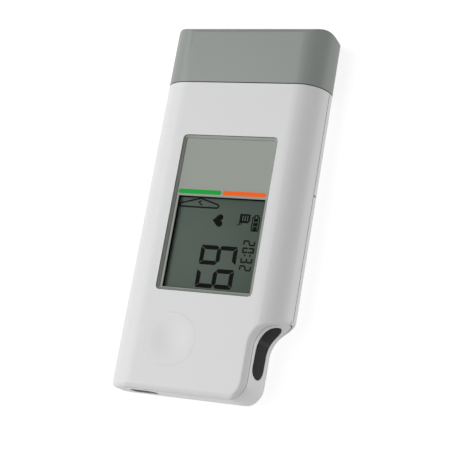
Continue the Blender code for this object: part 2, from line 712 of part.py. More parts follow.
def front_shell():
    """The display side of the housing, with the posts that the screws bite into."""
    shell = common(hollow_body(), half_space(PARTING_HEIGHT + SEAM_GAP / 2, BODY_THICKNESS + OVERRUN))
    cut(shell, band_room(SEAM_GAP))
    roof = housing_solid(SIDE_WALL / 2, SIDE_WALL / 2, CAP_SEAM - SIDE_WALL / 2)
    for name, (x, y, seat) in screw_places().items():
        foot = PARTING_HEIGHT + SEAM_GAP / 2 if name.startswith("upper") else DECK_BOTTOM + DECK_THICKNESS + SEAT_GAP
        post = cylinder(x, y, foot, BODY_THICKNESS + OVERRUN, POST_RADIUS)
        join(shell, common(post, copy_of(roof)))
        cut(shell, cylinder(x, y, foot - OVERRUN, seat + SHANK_LENGTH + SEAT_GAP, PILOT_RADIUS))
    bpy.data.objects.remove(roof, do_unlink=True)
    join(shell, extruded(window_outline(-FRAME_RIB_WIDTH), FRAME_RIB_BOTTOM, FRONT_INSIDE + LAYER_GAP, "Z"))
    cut(shell, extruded(window_outline(0), WINDOW_LEDGE, BODY_THICKNESS + OVERRUN, "Z"))
    opening = view_outline()
    cut(shell, extruded(opening, FRONT_INSIDE - OVERRUN, BODY_THICKNESS, "Z"))
    hole_bottom = FRONT_INSIDE - OVERRUN
    cut(
        shell,
        cylinder(
            BUTTON_X,
            port_end(BUTTON_Y),
            hole_bottom,
            BODY_THICKNESS + OVERRUN,
            BUTTON_RADIUS + BUTTON_GAP,
            2 * CIRCLE_STEPS,
        ),
    )
    stem_half_width = CHEST_STEM_WIDTH / 2 + SEAT_GAP
    stem_low, stem_high = chest_stem_heights()
    stem_slot = box(
        (-stem_half_width, port_end(NOSE_END - NOSE_WALL - OVERRUN), stem_low - SEAT_GAP),
        (stem_half_width, port_end(NOSE_END + OVERRUN), stem_high + SEAT_GAP),
    )
    cut(shell, stem_slot)
    return join(shell, detent_rib())


def detent_rib():
    """The low rib across the front of the nose that the cap clicks over."""
    top = BODY_THICKNESS - NOSE_INSET
    middle = port_end(CAP_SEAM + DETENT_SETBACK)
    profile = [
        (middle - DETENT_WIDTH / 2, top - DETENT_HEIGHT),
        (middle + DETENT_WIDTH / 2, top - DETENT_HEIGHT),
        (middle, top + DETENT_HEIGHT),
    ]
    return extruded(profile, -DETENT_LENGTH / 2, DETENT_LENGTH / 2, "X")


def bay_outline(radius):
    """A slot shape round both coin cells."""
    first = (CELL_X, port_end(FIRST_CELL_Y))
    last = (CELL_X, port_end(FIRST_CELL_Y + CELL_SPACING))
    steps = 2 * ARC_STEPS
    return arc(first, (radius, radius), 180, 360, steps) + arc(last, (radius, radius), 0, 180, steps)


def bulkhead(left, right, start, top):
    """A cross wall between the back and the deck."""
    return box((left, port_end(start), REAR_WALL / 2), (right, port_end(start + BULKHEAD_THICKNESS), top))


def deck():
    """The plate over the coin cells, with the wall that goes round both of them."""
    inset = SIDE_WALL + DECK_MARGIN
    plate = cut(housing_solid(inset, inset, DOOR_END + BULKHEAD_THICKNESS), notch_space(inset))
    common(plate, half_space(DECK_BOTTOM, DECK_BOTTOM + DECK_THICKNESS))
    middle = DECK_BOTTOM + DECK_THICKNESS / 2
    join(plate, extruded(bay_outline(CELL_RADIUS + BAY_CLEARANCE + BAY_WALL), CELL_BOTTOM, middle, "Z"))
    cut(plate, extruded(bay_outline(CELL_RADIUS + BAY_CLEARANCE), CELL_BOTTOM - OVERRUN, DECK_BOTTOM, "Z"))
    left, right = BULKHEAD_MARGIN - BODY_WIDTH / 2, NOTCH_WALL_X - BULKHEAD_MARGIN
    lower = bulkhead(left, right, DOOR_START - SEAM_GAP - BULKHEAD_THICKNESS, middle)
    return join(plate, lower, bulkhead(left, -left, DOOR_END + DOOR_GAP + SEAM_GAP, middle))


def rear_shell():
    """The back of the housing, with the deck over the coin cells and the bay's wall."""
    shell = common(hollow_body(), half_space(-OVERRUN, PARTING_HEIGHT - SEAM_GAP / 2))
    reach = BODY_WIDTH
    door_low = (-reach, port_end(DOOR_START), -OVERRUN)
    cut(shell, box(door_low, (reach, port_end(DOOR_END + DOOR_GAP), PARTING_HEIGHT + OVERRUN)))
    cut(shell, band_room(SEAM_GAP))
    join(shell, deck())
    for side in (-1, 1):
        middle, half = side * HOOK_X, HOOK_WIDTH / 2 + SLIDE_GAP
        slot_low = (middle - half, port_end(DOOR_END - OVERRUN), REAR_WALL)
        slot_end = DOOR_END + DOOR_GAP + BULKHEAD_THICKNESS + OVERRUN
        cut(shell, box(slot_low, (middle + half, port_end(slot_end), HOOK_SLOT_TOP)))
    for name, (x, y, seat) in screw_places().items():
        if name.startswith("upper"):
            boss = cylinder(x, y, -OVERRUN, PARTING_HEIGHT - SEAM_GAP / 2, BOSS_RADIUS)
            join(shell, common(boss, housing_solid(0, 0, CAP_SEAM - SIDE_WALL)))
            cut(shell, cylinder(x, y, -OVERRUN, seat, HEAD_RADIUS + HEAD_CLEARANCE))
        cut(shell, cylinder(x, y, -OVERRUN, BODY_THICKNESS, SHANK_RADIUS + HEAD_CLEARANCE))
    cut(shell, plus_slots())
    half_width, half_height = PORT_WIDTH / 2 + PORT_CLEARANCE, PORT_HEIGHT / 2 + PORT_CLEARANCE
    port_low = (PORT_X - half_width, port_end(SIDE_WALL / 2), PORT_MIDDLE_Z - half_height)
    port_high = (PORT_X + half_width, port_end(PORT_BACK + PORT_CLEARANCE), PORT_MIDDLE_Z + half_height)
    return cut(shell, box(port_low, port_high))


def battery_door():
    """The full-width cover over the coin cells, with two hooks at one end and a snap tongue at the other."""
    start, end = DOOR_START + DOOR_GAP, DOOR_END
    reach = BODY_WIDTH
    block = box((-reach, port_end(start), -OVERRUN), (reach, port_end(end), PARTING_HEIGHT - SEAM_GAP / 2))
    door = common(block, outer_body())
    cut(door, cut(housing_solid(DOOR_WALL, 0, CAP_SEAM), notch_space(DOOR_WALL)))
    cut(door, band_room(DOOR_GAP))
    for side in (-1, 1):
        middle = side * HOOK_X
        half, wider = HOOK_WIDTH / 2, HOOK_WIDTH / 2 + SLIDE_GAP
        low = REAR_WALL + HOOK_LIFT
        hook = box(
            (middle - half, port_end(end - HOOK_ROOT / 2), low),
            (middle + half, port_end(end + HOOK_REACH), low + HOOK_THICKNESS),
        )
        root = box(
            (middle - wider, port_end(end - HOOK_ROOT), DOOR_WALL / 2),
            (middle + wider, port_end(end - SEAM_GAP), low + HOOK_THICKNESS / 2),
        )
        join(door, hook, root)
    for side in (-1, 1):
        middle = side * TONGUE_WIDTH / 2
        slot = box(
            (middle - TONGUE_SLOT / 2, port_end(start - OVERRUN), -OVERRUN),
            (middle + TONGUE_SLOT / 2, port_end(start + TONGUE_LENGTH), DOOR_WALL + OVERRUN),
        )
        cut(door, slot)
    groove_y = port_end(start + TONGUE_LENGTH / 2)
    groove = arc((groove_y, 0), (NAIL_GROOVE_RADIUS, NAIL_GROOVE_DEPTH), -60, 240, 2 * ARC_STEPS - 1)
    return cut(door, extruded(groove, -NAIL_GROOVE_WIDTH / 2, NAIL_GROOVE_WIDTH / 2, "X"))


def protective_cap():
    """The grey cap, open towards the housing."""
    cap = housing_solid(0, 0, BODY_LENGTH, END_FRONT_RADIUS)
    low = (-BODY_WIDTH, port_end(CAP_SEAM), -OVERRUN)
    high = (BODY_WIDTH, port_end(BODY_LENGTH + OVERRUN), BODY_THICKNESS + OVERRUN)
    common(cap, box(low, high))
    for side in (-1, 1):
        cut(cap, corner_cutter(side * BODY_WIDTH / 2, BODY_LENGTH, side, 1, CAP_CORNER_RADIUS))
    room = extruded(section(CAP_WALL), port_end(CAP_SEAM - OVERRUN), port_end(BODY_LENGTH - CAP_END_WALL), "Y")
    return cut(cap, room)


def chest_stem_heights():
    """Bottom and top of the stem, which rests on the lead."""
    low = BOARD_TOP + 2 * SEAT_GAP + LEAD_THICKNESS
    return low, low + CHEST_STEM_HEIGHT


def chest_electrode():
    """The plate at the end of the nose, with a stem that reaches the board's lead."""
    start = NOSE_END + SEAT_GAP
    inset = NOSE_INSET + CHEST_PLATE_MARGIN
    plate = extruded(section(inset), port_end(start), port_end(start + CHEST_PLATE_THICKNESS), "Y")
    low, high = chest_stem_heights()
    half = CHEST_STEM_WIDTH / 2
    stem = box((-half, port_end(start - CHEST_STEM_LENGTH), low), (half, port_end(start + SEAT_GAP), high))
    return join(plate, stem)


def chest_lead():
    """The flat spring from the board to the chest electrode's stem."""
    half = CHEST_LEAD_WIDTH / 2
    low = BOARD_TOP + SEAT_GAP
    stem_end = NOSE_END + SEAT_GAP - CHEST_STEM_LENGTH
    return box(
        (-half, port_end(BOARD_END - CHEST_LEAD_OVERLAP), low),
        (half, port_end(stem_end + CHEST_LEAD_OVERLAP), low + LEAD_THICKNESS),
    )


def finger_lead():
    """The spring that stands on the board and presses on the back of the finger electrode."""
    back = NOTCH_WALL_X - ELECTRODE_THICKNESS - SEAT_GAP
    low = BOARD_TOP + SEAT_GAP
    rise = ELECTRODE_MIDDLE_Z + ELECTRODE_HEIGHT / 4
    foot_x = BOARD_NOTCH_X - FINGER_LEAD_FOOT
    profile = [
        (foot_x, low),
        (BOARD_NOTCH_X, low),
        (back, rise),
        (back, rise + LEAD_THICKNESS),
        (back - LEAD_THICKNESS, rise + LEAD_THICKNESS),
        (BOARD_NOTCH_X - LEAD_THICKNESS, low + LEAD_THICKNESS),
        (foot_x, low + LEAD_THICKNESS),
    ]
    middle = port_end(FINGER_LEAD_Y)
    return extruded(profile, middle - FINGER_LEAD_WIDTH / 2, middle + FINGER_LEAD_WIDTH / 2, "Y")


def display_bezel():
    """The ring that lines the opening, sloping down towards the window."""
    outer, inner = window_outline(SEAM_GAP), window_outline(BEZEL_WIDTH)
    ring = extruded(outer, BEZEL_BOTTOM, BEZEL_TOP, "Z")
    edge = BEZEL_SLOPE_FOOT + BEZEL_EDGE
    steep = BEZEL_WIDTH / (BEZEL_TOP - edge)
    wide = window_outline(BEZEL_WIDTH - steep * (BEZEL_TOP + SEAM_GAP - edge))
    levels = ((BEZEL_BOTTOM - OVERRUN, inner), (edge, inner), (BEZEL_TOP + SEAM_GAP, wide))
    return cut(ring, loft([[(x, y, height) for x, y in outline] for height, outline in levels]))


def display_window():
    return extruded(window_outline(BEZEL_WIDTH + SEAM_GAP), LENS_BOTTOM, LENS_TOP, "Z")


def display_mask():
    """The printed film behind the window, open over the liquid crystal."""
    film = extruded(window_outline(SEAM_GAP), MASK_BOTTOM, MASK_TOP, "Z")
    opening = view_outline()
    return cut(film, extruded(opening, MASK_BOTTOM - OVERRUN, MASK_TOP + OVERRUN, "Z"))


def lcd_edges(extra):
    half_width = VIEW_WIDTH / 2 + LCD_MARGIN + extra
    half_length = VIEW_LENGTH / 2 + LCD_MARGIN + extra
    middle = port_end(VIEW_MIDDLE)
    return (-half_width, middle - half_length), (half_width, middle + half_length)


def lcd_glass():
    (x_low, y_low), (x_high, y_high) = lcd_edges(0)
    return box((x_low, y_low, LCD_BOTTOM), (x_high, y_high, LCD_TOP))


def connector_edges(extra):
    (_, y_low), (x_high, _) = lcd_edges(0)
    half = x_high - CONNECTOR_MARGIN + extra
    return (-half, y_low + CONNECTOR_EDGE - extra), (half, y_low + CONNECTOR_EDGE + CONNECTOR_WIDTH + extra)


def lcd_holder():
    """The black frame that holds the glass over the board."""
    low, high = lcd_edges(HOLDER_WALL + SEAT_GAP)
    base = BOARD_TOP + SEAT_GAP
    frame = box((*low, base), (*high, FRAME_RIB_BOTTOM - SEAT_GAP))
    low, high = lcd_edges(SEAT_GAP)
    seat = LCD_BOTTOM - SEAT_GAP
    low_in, high_in = lcd_edges(-HOLDER_LEDGE)
    cut(frame, box((*low, seat), (*high, BODY_THICKNESS)))
    cut(frame, box((*low_in, base - OVERRUN), (*high_in, BODY_THICKNESS)))
    slot_low, slot_high = connector_edges(SEAT_GAP)
    return cut(frame, box((*slot_low, base - OVERRUN), (*slot_high, BODY_THICKNESS)))


def lcd_connector():
    """The striped rubber bar between the glass and the board."""
    low, high = connector_edges(0)
    return box((*low, BOARD_TOP + SEAT_GAP), (*high, LCD_BOTTOM - SEAT_GAP))


def start_button():
    """The round button with its dished top, a flange behind the wall and a stem over the switch."""
    rim = BUTTON_RADIUS - BUTTON_RIM
    dish = []
    for step in range(DISH_STEPS + 1):
        share = step / DISH_STEPS
        dish.append((rim * share, BODY_THICKNESS - BUTTON_DISH * (1 - share * share)))
    flange_top = FRONT_INSIDE - SEAT_GAP
    flange_bottom = flange_top - BUTTON_FLANGE_THICKNESS
    stem_bottom = plunger_heights()[1] + SEAT_GAP
    under = BODY_THICKNESS - BUTTON_DISH - BUTTON_SKIN
    profile = (
        [(0, stem_bottom), (STEM_RADIUS, stem_bottom), (STEM_RADIUS, under)]
        + [(rim - BUTTON_SKIN, under), (rim - BUTTON_SKIN, flange_bottom)]
        + [(BUTTON_RADIUS + BUTTON_FLANGE, flange_bottom), (BUTTON_RADIUS + BUTTON_FLANGE, flange_top)]
        + [(BUTTON_RADIUS, flange_top), (BUTTON_RADIUS, BODY_THICKNESS - BUTTON_RIM / 2)]
        + list(reversed(dish))
    )
    return turned(profile, BUTTON_X, port_end(BUTTON_Y), 2 * CIRCLE_STEPS)


def plunger_heights():
    switch_top = BOARD_TOP + SEAT_GAP + SWITCH_HEIGHT
    return switch_top - PLUNGER_SINK, switch_top + PLUNGER_PROUD


def switch_plunger():
    low, high = plunger_heights()
    return cylinder(BUTTON_X, port_end(BUTTON_Y), low, high, PLUNGER_RADIUS)


def switch_body():
    """The push switch on the board, with the bore that its plunger sinks into."""
    half, y = SWITCH_WIDTH / 2, port_end(BUTTON_Y)
    low = BOARD_TOP + SEAT_GAP
    block = box((BUTTON_X - half, y - half, low), (BUTTON_X + half, y + half, low + SWITCH_HEIGHT))
    bore = PLUNGER_RADIUS + SWITCH_BORE_CLEARANCE
    return cut(block, cylinder(BUTTON_X, y, low + SWITCH_FLOOR, low + SWITCH_HEIGHT + OVERRUN, bore))


def main_board():
    """The circuit board: it narrows beside the notch, and has a corner cut out for the data port."""
    port_side = PORT_X + PORT_WIDTH / 2 + SEAT_GAP
    outline = rounded_corners(
        [
            (port_side, port_end(BOARD_START), BOARD_CORNER),
            (BOARD_NOTCH_X, port_end(BOARD_START), BOARD_CORNER),
            (BOARD_NOTCH_X, port_end(BOARD_NOTCH_END), BOARD_CORNER),
            (BOARD_RIGHT_X, port_end(BOARD_NOTCH_END), BOARD_CORNER),
            (BOARD_RIGHT_X, port_end(BOARD_END), BOARD_CORNER),
            (BOARD_LEFT_X, port_end(BOARD_END), BOARD_CORNER),
            (BOARD_LEFT_X, port_end(PORT_BACK + SEAT_GAP), BOARD_CORNER),
            (port_side, port_end(PORT_BACK + SEAT_GAP), 0),
        ],
        3,
    )
    return extruded(outline, BOARD_BOTTOM, BOARD_TOP, "Z")


def chip(x, y_share, width, length, height):
    """A part on the board's top, at a share of the way from the display holder to the board's end."""
    y, low = port_end(HOLDER_END + (BOARD_END - HOLDER_END) * y_share), BOARD_TOP + SEAT_GAP
    return box((x - width / 2, y - length / 2, low), (x + width / 2, y + length / 2, low + height))


def data_port():
    """The small metal socket in the board's corner, behind the oval recess, with its inner tongue."""
    start = SIDE_WALL + SLIDE_GAP
    half_width, half_height = PORT_WIDTH / 2, PORT_HEIGHT / 2

    def sleeve(shrink, low, high):
        outline = rectangle(
            PORT_X - half_width + shrink,
            PORT_X + half_width - shrink,
            PORT_MIDDLE_Z - half_height + shrink,
            PORT_MIDDLE_Z + half_height - shrink,
            PORT_CORNER,
            2,
        )
        return extruded(outline, port_end(low), port_end(high), "Y")

    back_wall = start + PORT_LENGTH - PORT_WALL
    shell = cut(sleeve(0, start, start + PORT_LENGTH), sleeve(PORT_WALL, start - OVERRUN, back_wall))
    tongue = box(
        (PORT_X - half_width / 2, port_end(back_wall - PORT_TONGUE_LENGTH), PORT_MIDDLE_Z - PORT_TONGUE_HEIGHT / 2),
        (PORT_X + half_width / 2, port_end(back_wall + PORT_WALL / 2), PORT_MIDDLE_Z + PORT_TONGUE_HEIGHT / 2),
    )
    return join(shell, tongue)


def coin_cell(index):
    """A coin cell: the wide can below and the narrower lid above it."""
    y = port_end(FIRST_CELL_Y + CELL_SPACING * index)
    lid = CELL_RADIUS - CELL_RIM
    profile = [(0, CELL_BOTTOM), (CELL_RADIUS, CELL_BOTTOM), (CELL_RADIUS, CELL_CAN_TOP), (lid, CELL_CAN_TOP)]
    profile += [(lid, CELL_TOP), (0, CELL_TOP)]
    return turned(profile, CELL_X, y, 2 * CIRCLE_STEPS)


def minus_contact(index):
    """The flat leaf on the deck that meets the lid of a coin cell."""
    y = port_end(FIRST_CELL_Y + CELL_SPACING * index)
    middle = (CELL_TOP + DECK_BOTTOM) / 2
    return box(
        (CELL_X - MINUS_WIDTH / 2, y - MINUS_LENGTH / 2, middle - CONTACT_THICKNESS / 2),
        (CELL_X + MINUS_WIDTH / 2, y + MINUS_LENGTH / 2, middle + CONTACT_THICKNESS / 2),
    )


def plus_edges(index, extra):
    """The upright leaf beside the can, at the left of each cell."""
    y = port_end(FIRST_CELL_Y + CELL_SPACING * index)
    outer = CELL_X - CELL_RADIUS - SEAT_GAP
    low = (outer - CONTACT_THICKNESS - extra, y - PLUS_WIDTH / 2 - extra)
    return low, (outer + extra, y + PLUS_WIDTH / 2 + extra)


def plus_contact(index):
    low, high = plus_edges(index, 0)
    return box((*low, CELL_BOTTOM), (*high, CELL_CAN_TOP))


def plus_slots():
    """Room in the bay's wall for both upright leaves."""
    cutters = []
    for index in (0, 1):
        low, high = plus_edges(index, SEAT_GAP)
        cutters.append(box((*low, CELL_BOTTOM - OVERRUN), (*high, CELL_CAN_TOP + SEAT_GAP)))
    return join(*cutters)


def housing_screw(name):
    """A small pan-head screw with a cross recess, driven in from the back."""
    x, y, seat = screw_places()[name]
    top = seat + SHANK_LENGTH
    bottom = seat - SEAT_GAP - HEAD_HEIGHT
    head_top = seat - SEAT_GAP
    profile = [(0, bottom), (HEAD_RADIUS, bottom), (HEAD_RADIUS, head_top), (SHANK_RADIUS, head_top)]
    profile += [(SHANK_RADIUS, top - SHANK_RADIUS), (0, top)]
    screw = turned(profile, x, y, CIRCLE_STEPS // 2)
    half_length, half_width = DRIVE_LENGTH / 2, DRIVE_WIDTH / 2
    low, high = bottom - OVERRUN, bottom + DRIVE_DEPTH
    cut(screw, box((x - half_length, y - half_width, low), (x + half_length, y + half_width, high)))
    return cut(screw, box((x - half_width, y - half_length, low), (x + half_width, y + half_length, high)))


def material(spec):
    name, colour, roughness, metallic = spec
    made = bpy.data.materials.get(name)
    if made is None:
        made = bpy.data.materials.new(name)
        made.use_nodes = True
        shader = made.node_tree.nodes["Principled BSDF"]
        shader.inputs["Base Color"].default_value = (*colour, 1)
        shader.inputs["Roughness"].default_value = roughness
        shader.inputs["Metallic"].default_value = metallic
    return made


def weld(obj):
    """Makes one point of points that lie closer together than the least edge."""
    bm = bmesh.new()
    bm.from_mesh(obj.data)
    bmesh.ops.remove_doubles(bm, verts=bm.verts, dist=LEAST_EDGE)
    bm.to_mesh(obj.data)
    bm.free()


def finish(obj, name, spec):
    """Welds and names a piece, and gives it its material and smooth round faces."""
    weld(obj)
    obj.name = name
    obj.data.name = name
    obj.data.materials.clear()
    obj.data.materials.append(material(spec))
    obj.data.shade_smooth()
    obj.data.set_sharp_from_angle(angle=math.radians(30))
    return obj


def on_axis(name, place, pieces):
    """Parents pieces to an empty on their joint's axis."""
    empty = bpy.data.objects.new(name, None)
    bpy.context.scene.collection.objects.link(empty)
    empty.location = place
    for piece in pieces:
        piece.parent = empty
        piece.location = -Vector(place)


def build():
    clear_scene()
    finish(front_shell(), "front_shell", WHITE_PLASTIC)
    finish(rear_shell(), "rear_shell", WHITE_PLASTIC)
    finish(end_band(), "end_band", BAND_PLASTIC)
    finish(finger_electrode(), "finger_electrode", DARK_RUBBER)
    finish(chest_electrode(), "chest_electrode", STEEL)
    finish(chest_lead(), "chest_lead", BRASS)
    finish(finger_lead(), "finger_lead", BRASS)
    finish(display_window(), "display_window", CLEAR)
    finish(display_mask(), "display_mask", MASK_INK)
    finish(display_bezel(), "display_bezel", GREY_PLASTIC)
    finish(lcd_glass(), "lcd_glass", LCD_GLASS)
    finish(lcd_holder(), "lcd_holder", BLACK_PLASTIC)
    finish(lcd_connector(), "lcd_connector", CONNECTOR_RUBBER)
    finish(main_board(), "main_board", BOARD_GREEN)
    processor = chip(PROCESSOR_X, PROCESSOR_Y_SHARE, PROCESSOR_SIDE, PROCESSOR_SIDE, PROCESSOR_HEIGHT)
    finish(processor, "processor_chip", BLACK_PLASTIC)
    amplifier_x = BOARD_LEFT_X + AMPLIFIER_MARGIN + AMPLIFIER_WIDTH / 2
    amplifier = chip(amplifier_x, AMPLIFIER_Y_SHARE, AMPLIFIER_WIDTH, AMPLIFIER_LENGTH, AMPLIFIER_HEIGHT)
    finish(amplifier, "amplifier_chip", BLACK_PLASTIC)
    radio_x = BOARD_RIGHT_X - RADIO_MARGIN - RADIO_WIDTH / 2
    radio = chip(radio_x, RADIO_Y_SHARE, RADIO_WIDTH, RADIO_LENGTH, RADIO_HEIGHT)
    finish(radio, "radio_module", STEEL)
    finish(data_port(), "data_port", STEEL)
    finish(switch_body(), "switch_body", BLACK_PLASTIC)
    for index in (0, 1):
        finish(coin_cell(index), f"coin_cell_{index + 1}", STEEL)
        finish(minus_contact(index), f"minus_contact_{index + 1}", BRASS)
        finish(plus_contact(index), f"plus_contact_{index + 1}", BRASS)
    for name in screw_places():
        finish(housing_screw(name), f"housing_screw_{name}", STEEL)
    cap = finish(protective_cap(), "protective_cap", GREY_PLASTIC)
    button = finish(start_button(), "start_button", WHITE_PLASTIC)
    plunger = finish(switch_plunger(), "switch_plunger", BLACK_PLASTIC)
    door = finish(battery_door(), "battery_door", WHITE_PLASTIC)
    on_axis("cap_slide", (0, port_end(CAP_SEAM), BODY_THICKNESS / 2), [cap])
    on_axis("button_slide", (BUTTON_X, port_end(BUTTON_Y), BODY_THICKNESS), [button, plunger])
    on_axis("door_hinge", (0, port_end(DOOR_END), 0), [door])


build()
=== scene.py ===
# %% [markdown]
# # A pocket heart monitor, dressed
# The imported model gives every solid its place. This lesson puts skins, prints and finishes on it.
# Lengths are in metres, X runs across the monitor, Y from the port end to the cap, Z out of the display.

# %% Load the frame
import json
import math

import bmesh
import bpy
from mathutils import Matrix, Vector

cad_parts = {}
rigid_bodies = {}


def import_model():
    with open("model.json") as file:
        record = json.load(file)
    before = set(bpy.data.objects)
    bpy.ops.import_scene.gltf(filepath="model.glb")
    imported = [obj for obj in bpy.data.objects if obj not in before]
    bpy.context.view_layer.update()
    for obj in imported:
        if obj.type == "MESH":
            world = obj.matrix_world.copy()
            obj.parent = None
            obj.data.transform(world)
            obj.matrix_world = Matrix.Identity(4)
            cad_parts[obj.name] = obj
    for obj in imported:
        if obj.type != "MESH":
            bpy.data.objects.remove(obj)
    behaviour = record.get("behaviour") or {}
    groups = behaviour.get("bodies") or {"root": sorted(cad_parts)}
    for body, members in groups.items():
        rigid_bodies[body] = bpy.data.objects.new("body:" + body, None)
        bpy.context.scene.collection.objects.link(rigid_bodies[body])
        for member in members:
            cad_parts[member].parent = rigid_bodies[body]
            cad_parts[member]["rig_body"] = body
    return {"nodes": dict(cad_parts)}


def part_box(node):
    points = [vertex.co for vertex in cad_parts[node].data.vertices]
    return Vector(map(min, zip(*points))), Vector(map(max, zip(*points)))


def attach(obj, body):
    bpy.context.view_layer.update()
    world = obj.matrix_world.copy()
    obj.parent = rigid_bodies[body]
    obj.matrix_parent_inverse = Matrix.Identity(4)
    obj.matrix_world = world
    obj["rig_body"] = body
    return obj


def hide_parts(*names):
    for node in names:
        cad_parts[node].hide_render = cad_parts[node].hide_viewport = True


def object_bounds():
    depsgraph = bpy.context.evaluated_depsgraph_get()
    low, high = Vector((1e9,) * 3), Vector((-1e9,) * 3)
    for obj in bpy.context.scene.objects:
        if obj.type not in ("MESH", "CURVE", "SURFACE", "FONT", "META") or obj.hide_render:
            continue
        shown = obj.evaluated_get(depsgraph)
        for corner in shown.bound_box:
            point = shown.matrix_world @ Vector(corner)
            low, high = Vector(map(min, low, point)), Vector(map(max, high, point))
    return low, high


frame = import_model()
CAD_BOX = [list(corner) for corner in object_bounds()]
MM = 0.001
print(len(frame["nodes"]), "nodes, box", CAD_BOX)

# %% [markdown]
# ## Camera
# The photograph was taken from a little above the port end and from the right, with a long lens.
# A long lens keeps parallel edges nearly parallel, which a short one close by would not.

# %% Camera
CAMERA_PLACE = (0.12927, -0.08681, 0.29863)
CAMERA_RIGHT = (0.9191, 0.1686, -0.3562)
CAMERA_UP = (-0.0604, 0.9535, 0.2955)
CAMERA_BACK = (0.3894, -0.2501, 0.8865)

scene = bpy.context.scene
camera = bpy.data.objects.new("camera", bpy.data.cameras.new("camera"))
scene.collection.objects.link(camera)
turn = Matrix((CAMERA_RIGHT, CAMERA_UP, CAMERA_BACK)).transposed()
camera.matrix_world = Matrix.Translation(CAMERA_PLACE) @ turn.to_4x4()
camera.data.lens = 102.04
camera.data.sensor_width = 36
camera.data.clip_start = 0.01
scene.camera = camera
print("camera", (camera.location - Vector((0, 0, 0.01))).length, "m from the monitor")

# %% [markdown]
# ## Shader sums
# A material is a graph of nodes. Writing the graph as Python sums keeps it readable, so a small class
# wraps an output socket: adding two of them adds a Math node. Everything else comes from node().


# %% Shader sums
class Wire:
    """An output socket in a material, which can be used in sums."""

    def __init__(self, tree, socket=None):
        self.tree, self.socket = tree, socket

    def node(self, kind, settings=None, output=0, **inputs):
        made = self.tree.nodes.new("ShaderNode" + kind)
        for name, value in (settings or {}).items():
            setattr(made, name, value)
        for name, value in inputs.items():
            self.plug(made, name, value)
        return Wire(self.tree, made.outputs[output])

    def plug(self, made, name, value):
        key = int(name[1:]) if name[1:].isdigit() else name.replace("_", " ")
        socket = made.inputs[key]
        if isinstance(value, Wire):
            self.tree.links.new(value.socket, socket)
        else:
            socket.default_value = value

    def sum(self, operation, a, b=0.0):
        return self.node("Math", {"operation": operation}, i0=a, i1=b)

    def __add__(self, other):
        return self.sum("ADD", self, other)

    def __sub__(self, other):
        return self.sum("SUBTRACT", self, other)

    def __rsub__(self, other):
        return self.sum("SUBTRACT", other, self)

    def __mul__(self, other):
        return self.sum("MULTIPLY", self, other)

    def __gt__(self, other):
        return self.sum("GREATER_THAN", self, other)

    __radd__ = __add__
    __rmul__ = __mul__


# %% [markdown]
# ## A plain finish
# Every finish here starts the same way: a colour that drifts a little, a roughness that drifts with it,
# and a bump at the grain of the real surface. Object coordinates are in metres, so a noise of scale 3000
# has grains a third of a millimetre across. Seams and the port's recess gather less light than a render gives
# them, so a few boxes of space, given in millimetres, darken the colour there: painted shade.


# %% A plain finish
DRIFT_SCALE = 60


def start_material(name):
    made = bpy.data.materials.new(name)
    made.use_nodes = True
    shader = made.node_tree.nodes["Principled BSDF"]
    wire = Wire(made.node_tree)
    place = wire.node("TexCoord", output="Object")
    return made, shader, wire, place


def blend(wire, share, low, high):
    """A colour between two, as share goes from 0 to 1."""
    return wire.node("Mix", {"data_type": "RGBA"}, output=2, i0=share, i6=low, i7=high)


def shade(colour, share):
    return (*[min(1, c * share) for c in colour], 1)


def within(wire, place, low, high):
    """1 inside a box given in millimetres, and 0 outside it."""
    mask = 1.0
    for axis, start, end in zip("XYZ", low, high):
        value = wire.node("SeparateXYZ", output=axis, Vector=place)
        middle, reach = (start + end) / 2 * MM, (end - start) / 2 * MM
        mask = wire.node("Math", {"operation": "COMPARE"}, i0=value, i1=middle, i2=reach) * mask
    return mask


def plain_finish(name, colour, rough, grain, height, drift=0.03, gloss=0.5, painted_shade=()):
    """A moulded or sprayed surface: colour drift, uneven gloss, a fine grain and painted shade in given
    boxes.
    """
    made, shader, wire, place = start_material(name)
    cloud = wire.node("TexNoise", Vector=place, Scale=DRIFT_SCALE, Detail=3.0)
    fine = wire.node("TexNoise", Vector=place, Scale=grain, Detail=2.0)
    shown = blend(wire, cloud, shade(colour, 1 - drift), shade(colour, 1 + drift))
    # painted shade: each box darkens the colour to its share
    for low, high, share in painted_shade:
        shown = blend(wire, within(wire, place, low, high), shown, shade(colour, share))
    wire.plug(shader, "Base Color", shown)
    wire.plug(shader, "Roughness", rough + (cloud - 0.5) * 0.10 + (fine - 0.5) * 0.06)
    wire.plug(shader, "Normal", wire.node("Bump", Height=fine, Strength=0.5, Distance=height))
    wire.plug(shader, "Specular IOR Level", gloss)
    print("finish", name, colour)
    return made


# Each place of painted shade: its lowest and highest corner in millimetres, and the share of the colour that
# is left.
# painted shade along the parting line on the sides
SIDE_JOINT_PAINTED_SHADE = ((-24, -50, 5.33), (24, 34, 5.57), 0.62)
# painted shade along the joint between the cap and the body
CAP_JOINT_PAINTED_SHADE = ((-24, 33.15, -1), (24, 33.50, 12), 0.45)
# painted shade in the recess round the data port
PORT_RECESS_PAINTED_SHADE = ((-17.4, -49.05, 3.9), (-9.4, -44, 8.5), 0.40)
SHELL_WHITE = (0.708, 0.708, 0.714)
BAND_GREY = (0.685, 0.685, 0.690)
CAP_GREY = (0.232, 0.253, 0.236)
MOULDING_BLACK = (0.022, 0.022, 0.023)
FOAM_BLACK = (0.010, 0.011, 0.010)
GLASS_GREEN = (0.096, 0.124, 0.106)
INK_BLACK = (0.006, 0.007, 0.006)
BAR_GREEN = (0.012, 0.400, 0.048)
BAR_ORANGE = (1.0, 0.150, 0.018)
PANEL_GREY = (0.342, 0.368, 0.328)

